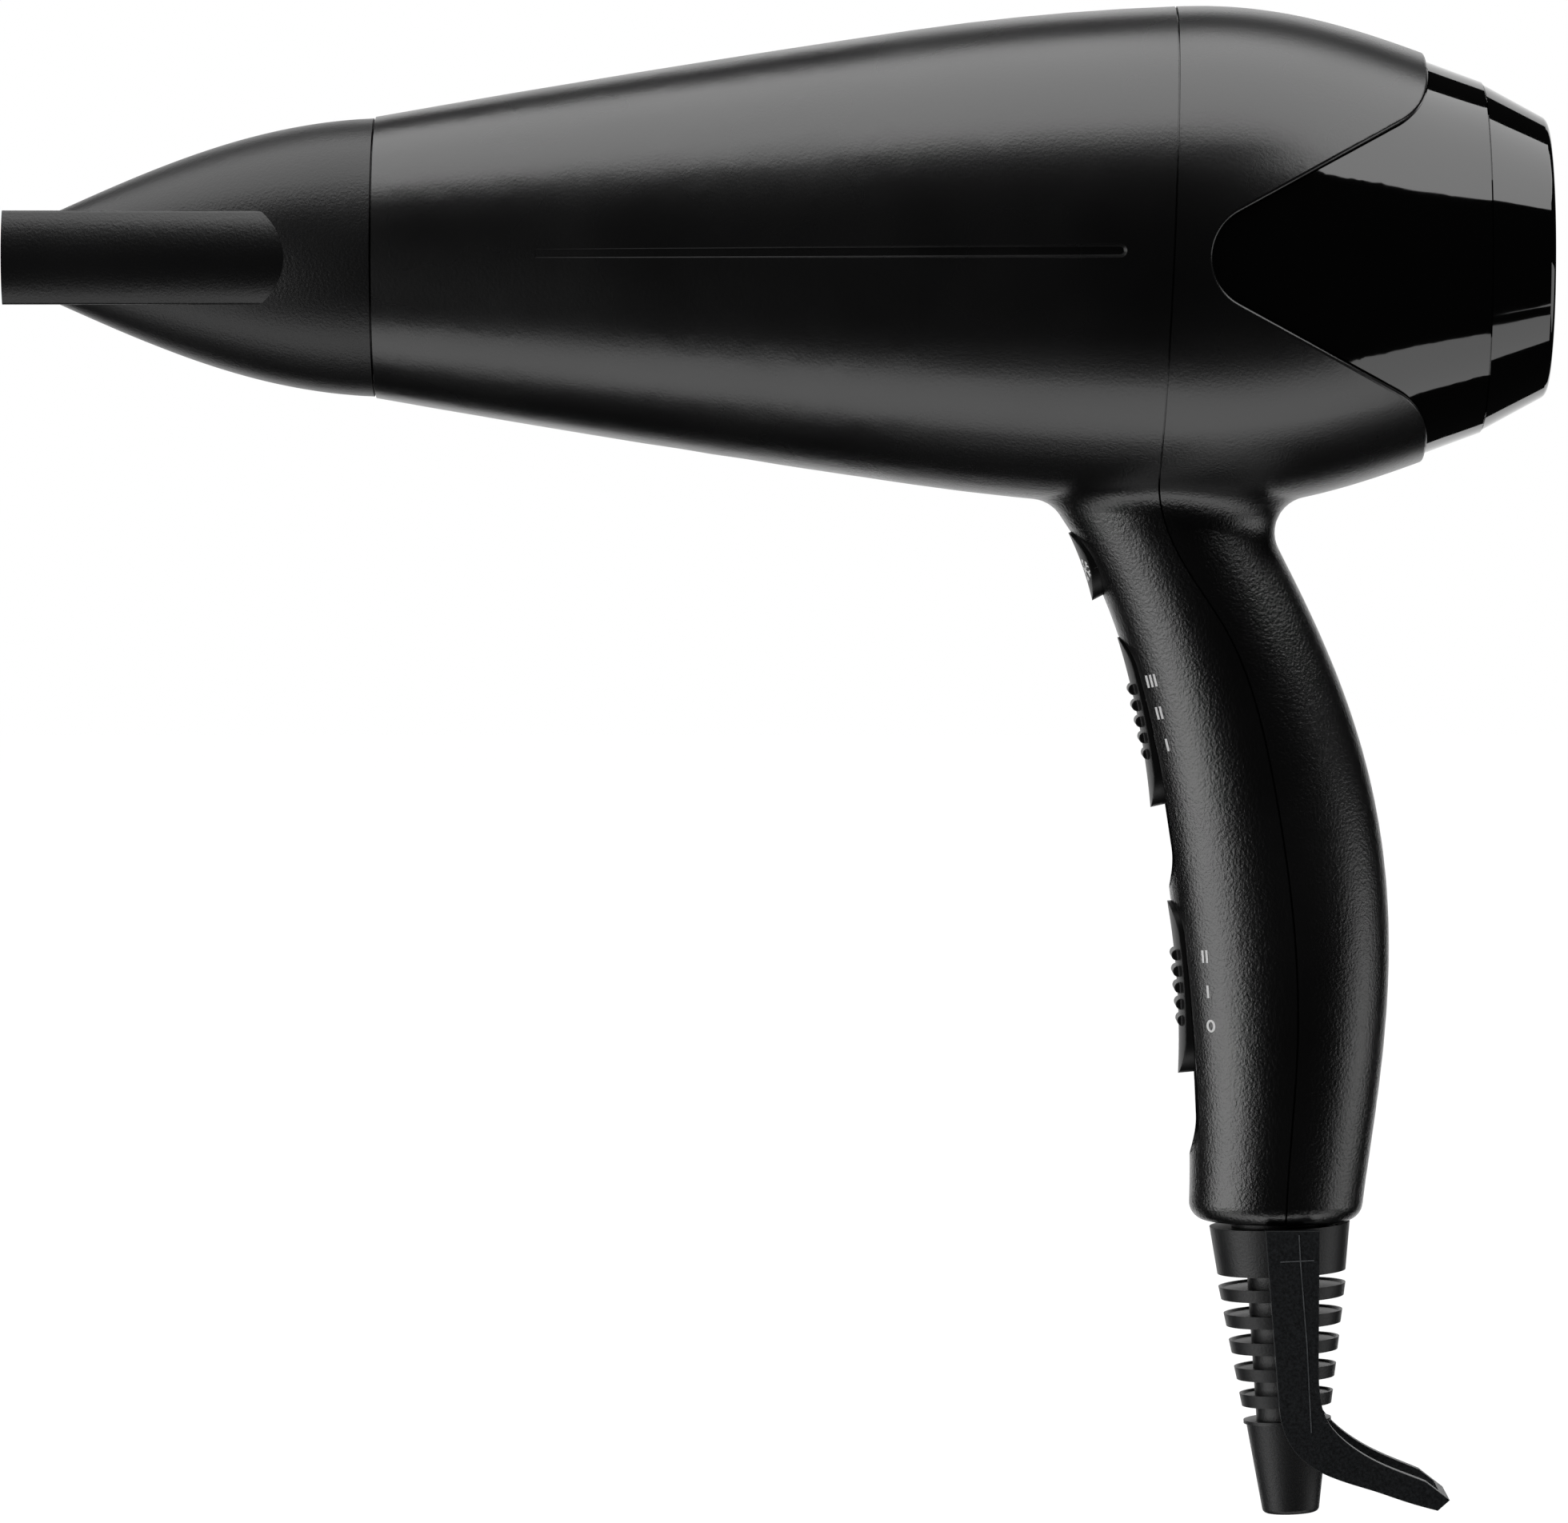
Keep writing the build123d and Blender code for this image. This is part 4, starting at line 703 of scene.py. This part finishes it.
@dataclass
class IntakeScreen:
    """The woven screen with its rim, behind the intake grille."""

    name: str = "intake_screen"
    place: Vector = field(default_factory=lambda: Vector((0.0459, 0.0, 0.113)))
    radius: float = 24.1 * MM
    rim: float = 1.4 * MM
    pitch: float = 1.0 * MM
    wire: float = 0.28 * MM
    weave: float = 0.05 * MM

    def net(self) -> bpy.types.Object:
        """Weave the round net flat.

        Returns:
            The net, selected and active.
        """
        Bench.clear()
        count = round(2 * self.radius / self.pitch)
        bpy.ops.mesh.primitive_grid_add(x_subdivisions=count, y_subdivisions=count, size=2 * self.radius)
        net = bpy.context.object
        for parity, rise in ((0, -self.weave), (1, self.weave)):
            Bench.pick(net, lambda vertex: sum(divmod(vertex.index, count + 1)) % 2 == parity)
            bpy.ops.transform.translate(value=(0.0, 0.0, rise))
        Bench.pick(net, lambda vertex: vertex.co.length > self.radius - self.rim / 2)
        bpy.ops.mesh.delete(type="VERT")
        bpy.ops.object.mode_set(mode="OBJECT")
        wires = net.modifiers.new("wires", "WIREFRAME")
        wires.thickness = self.wire
        wires.use_even_offset = False
        bpy.ops.object.modifier_apply(modifier="wires")
        return net

    def build(self, material: bpy.types.Material) -> bpy.types.Object:
        """Set the screen in the cap.

        Args:
            material: Finish of the wires.

        Returns:
            The screen.
        """
        rim = Bench.loop(2 * self.radius, 2 * self.radius, self.rim, Matrix.Identity(4))
        band = rim.modifiers.new("band", "SOLIDIFY")
        band.thickness = self.wire
        band.offset = 0.0
        bpy.ops.object.modifier_apply(modifier="band")
        screen = Bench.merge([self.net(), rim], self.name)
        screen.matrix_world = Matrix.Translation(self.place) @ Matrix.Rotation(math.radians(90), 4, "Y")
        bpy.ops.object.transform_apply(location=True, rotation=True, scale=True)
        dress(screen, material)
        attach(screen, Body.CAP.value)
        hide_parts("filter_mesh")
        return screen


@dataclass
class MouldLine:
    """The raised line that the mould leaves along one arm of the hanging loop. Its pale colour is a
    painted highlight on the ridge.
    """

    name: str
    side: float
    points: tuple[Pair, ...]
    width: float = 0.2 * MM
    height: float = 0.12 * MM

    def build(self, carrier: bpy.types.Object, material: bpy.types.Material) -> bpy.types.Object:
        """Raise the line on the loop.

        Args:
            carrier: Loop that carries it.
            material: Finish of the line, pale as a painted highlight.

        Returns:
            The raised line.
        """
        strips = []
        flip = -1.0 if self.side < 0 else 1.0
        for (x0, z0), (x1, z1) in zip(self.points, self.points[1:]):
            start, end = Vector((x0, flip * z0, 0)), Vector((x1, flip * z1, 0))
            angle = math.atan2(end.y - start.y, end.x - start.x)
            place = Matrix.Translation((start + end) / 2) @ Matrix.Rotation(angle, 4, "Z")
            strips.append(Bench.strip((end - start).length, self.width, place))
        line = Bench.merge(strips, self.name)
        Bench.lay_on(line, carrier, Bench.side_frame(self.side), self.height)
        dress(line, material)
        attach(line, Body.HOUSING.value)
        return line


@dataclass
class Studio:
    """Camera, pale floor and soft lights."""

    target: Vector = field(default_factory=lambda: Vector((-0.08, 0.0, 0.09)))
    eye: Vector = field(default_factory=lambda: Vector((-0.0903, -1.72, 0.1128)))
    aim: Vector = field(default_factory=lambda: Vector((-0.08963, 0.0, 0.02146)))
    view_width: float = 0.2852
    sensor: float = 36.0
    far_clip: float = 50.0
    ceiling_z: float = 1.27
    distance: float = 1.2
    room_light: float = 0.008
    floor_z: float = -0.2
    floor_size: float = 9.0
    floor_middle: float = 0.9
    floor_fade: float = 1.2
    backdrop_place: Vector = field(default_factory=lambda: Vector((-0.1, 1.6, 0.1)))
    backdrop_size: float = 2.0
    backdrop_middle: float = 1.0
    backdrop_fade: float = 1.0
    card_dark: Tone = (0.11, 0.11, 0.11)
    card_light: Tone = (0.13, 0.13, 0.13)
    card_patch: float = 0.4
    card_roughness: float = 0.9

    def camera(self) -> None:
        """Set up the camera at the barrel's height, square to its side."""
        sight = self.aim - self.eye
        data = bpy.data.cameras.new("camera")
        data.sensor_width = self.sensor
        data.lens = self.sensor * sight.length / self.view_width
        data.clip_end = self.far_clip
        camera = bpy.data.objects.new("camera", data)
        camera.location = self.eye
        camera.rotation_euler = sight.to_track_quat("-Z", "Y").to_euler()
        bpy.context.scene.collection.objects.link(camera)
        bpy.context.scene.camera = camera

    def hang(self, name: str, place: Matrix, size: Pair, radiance: float) -> None:
        """Hang one soft panel that shines along its own -Z.

        Args:
            name: Name of the light.
            place: Where the panel's middle goes, and how it hangs.
            size: Width and height of the panel, in metres.
            radiance: How bright the panel looks.
        """
        data = bpy.data.lights.new(name, "AREA")
        data.shape = "RECTANGLE"
        data.size, data.size_y = size
        data.energy = radiance * math.pi * size[0] * size[1]
        light = bpy.data.objects.new(name, data)
        light.matrix_world = place
        light.visible_camera = False
        bpy.context.scene.collection.objects.link(light)

    def overhead(self, x: float, y: float) -> Matrix:
        """Give a place under the ceiling, level.

        Args:
            x: Place along the barrel.
            y: Place across it.

        Returns:
            The place of a panel's middle.
        """
        return Matrix.Translation((x, y, self.ceiling_z))

    def around(self, azimuth: float, elevation: float) -> Matrix:
        """Give a place around the object, turned towards it.

        Args:
            azimuth: Degrees from the camera's side towards +X.
            elevation: Degrees above the horizon.

        Returns:
            The place of a panel's middle, and how it hangs.
        """
        turn, rise = math.radians(azimuth), math.radians(elevation)
        back = Vector((math.sin(turn) * math.cos(rise), -math.cos(turn) * math.cos(rise), math.sin(rise)))
        aimed = (-back).to_track_quat("-Z", "Y").to_matrix().to_4x4()
        return Matrix.Translation(self.target + back * self.distance) @ aimed

    def lights(self) -> None:
        """Place the soft lights: two flat panels overhead, a strip below and one panel at each end."""
        self.hang("upper", self.overhead(x=-0.8, y=0.0), size=(2.6, 1.52), radiance=2.1)
        self.hang("upper_right", self.overhead(x=1.3, y=-0.22), size=(1.6, 1.95), radiance=2.15)
        self.hang("lower", self.around(azimuth=0, elevation=-75), size=(3.6, 0.75), radiance=1.1)
        self.hang("left", self.around(azimuth=-68, elevation=-8), size=(1.1, 0.9), radiance=2.3)
        self.hang("right", self.around(azimuth=88, elevation=-14), size=(0.7, 0.5), radiance=1.15)

    def world(self) -> None:
        """Show white to the camera and keep a dim, even room for the rest."""
        world = bpy.data.worlds.new("room")
        world.use_nodes = True
        tree = world.node_tree
        out = tree.nodes["World Output"]
        dim = tree.nodes["Background"]
        dim.inputs["Color"].default_value = WHITE
        dim.inputs["Strength"].default_value = self.room_light
        white = tree.nodes.new("ShaderNodeBackground")
        white.inputs["Color"].default_value = WHITE
        white.inputs["Strength"].default_value = 1.0
        path = tree.nodes.new("ShaderNodeLightPath")
        mix = tree.nodes.new("ShaderNodeMixShader")
        tree.links.new(path.outputs["Is Camera Ray"], mix.inputs[0])
        tree.links.new(dim.outputs[0], mix.inputs[1])
        tree.links.new(white.outputs[0], mix.inputs[2])
        tree.links.new(mix.outputs[0], out.inputs["Surface"])
        bpy.context.scene.world = world

    def card(self, name: str, size: float, place: Matrix, middle: float, fade: float) -> bpy.types.Object:
        """Add a card that the camera, gloss and glass see as white, a little less around its middle.

        Args:
            name: Name of the card.
            size: Side of the card, in metres.
            place: Where it stands.
            middle: Share of white at the middle that doesn't depend on the lamps.
            fade: Distance from the middle at which it is wholly white.

        Returns:
            The card.
        """
        Bench.clear()
        bpy.ops.mesh.primitive_plane_add(size=size)
        card = bpy.context.object
        card.name = name
        card.matrix_world = place
        bpy.ops.object.transform_apply(location=True, rotation=True, scale=True)
        graph = Graph(name)
        graph.fix("Roughness", self.card_roughness)
        graph.fix("Specular IOR Level", 0.0)
        soft = graph.noise(self.card_patch)
        graph.tint(soft, "Fac", self.card_dark, self.card_light)
        path = graph.tree.nodes.new("ShaderNodeLightPath")
        seen = graph.tree.nodes.new("ShaderNodeMath")
        seen.operation = "ADD"
        seen.use_clamp = True
        sharp = graph.tree.nodes.new("ShaderNodeMath")
        sharp.operation = "ADD"
        graph.join(path, "Is Glossy Ray", sharp, "Value")
        graph.tree.links.new(path.outputs["Is Transmission Ray"], sharp.inputs[1])
        graph.tree.links.new(path.outputs["Is Camera Ray"], seen.inputs[0])
        graph.tree.links.new(sharp.outputs[0], seen.inputs[1])
        graph.tree.links.new(seen.outputs[0], graph.surface.inputs["Emission Strength"])
        graph.glow(fade, middle)
        dress(card, graph.material)
        return card

    def build(self) -> None:
        """Set up the whole studio."""
        bpy.context.scene.view_settings.view_transform = "Standard"
        self.camera()
        self.lights()
        self.world()
        level = Matrix.Translation((0, 0, self.floor_z))
        floor = self.card("floor", self.floor_size, level, self.floor_middle, self.floor_fade)
        # The light below the floor shines through it, and the gloss shows the backdrop alone.
        floor.visible_glossy = False
        floor.visible_diffuse = False
        floor.visible_shadow = False
        upright = Matrix.Translation(self.backdrop_place) @ Matrix.Rotation(math.radians(90), 4, "X")
        backdrop = self.card("backdrop", self.backdrop_size, upright, self.backdrop_middle,
                             self.backdrop_fade)
        backdrop.visible_camera = False
        backdrop.visible_shadow = False


def side_places(points: tuple[Pair, ...]) -> tuple[Pair, ...]:
    """Give the places in the middle plane that points of the side view show.

    Args:
        points: Points across and down the view.

    Returns:
        X and Z of each, in metres.
    """
    u0, v0 = VIEW_ORIGIN
    return tuple(((u - u0) * VIEW_PITCH, (v0 - v) * VIEW_PITCH) for u, v in points)


def main() -> None:
    """Dress the frame and build the pieces and the studio."""
    logging.basicConfig(level=logging.INFO, format="%(name)s: %(message)s")
    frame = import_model()
    nodes = frame["nodes"]
    for finish, names in NODE_FINISHES.items():
        material = finish.material()
        for name in names:
            dress(nodes[name], material)
            LOG.info("dressed %s in %s", name, finish.name)
    ink = PRINT.material()
    heat_signs, speed_signs = (Glyph.THREE, Glyph.TWO, Glyph.ONE), (Glyph.TWO, Glyph.ONE, Glyph.OFF)
    heat = SliderScale("heat_scale", heat_signs, side_places(HEAT_MARKS), HEAT_LEAN)
    speed = SliderScale("speed_scale", speed_signs, side_places(SPEED_MARKS), SPEED_LEAN)
    for scale in (heat, speed):
        scale.build(nodes["front_housing"], ink)
        LOG.info("printed %s", scale.name)
    SnowSign().build(nodes["cool_button"], ink)
    LOG.info("printed the cold-air sign")
    IntakeScreen().build(SCREEN.material())
    LOG.info("wove the intake screen")
    # The mould lines are real ridges, and their pale finish is a painted highlight on them.
    line_highlight = MOULD_LINE_HIGHLIGHT.material()
    for arm, side in (("near", -STAND_OFF), ("far", STAND_OFF)):
        for kind, points in (("crease", LOOP_CREASE), ("step", LOOP_STEP)):
            line = MouldLine(f"{arm}_{kind}", side, side_places(points))
            line.build(nodes["hang_loop"], line_highlight)
            LOG.info("raised %s", line.name)
    Studio().build()
    LOG.info("studio is set")


if __name__ == "__main__":
    main()
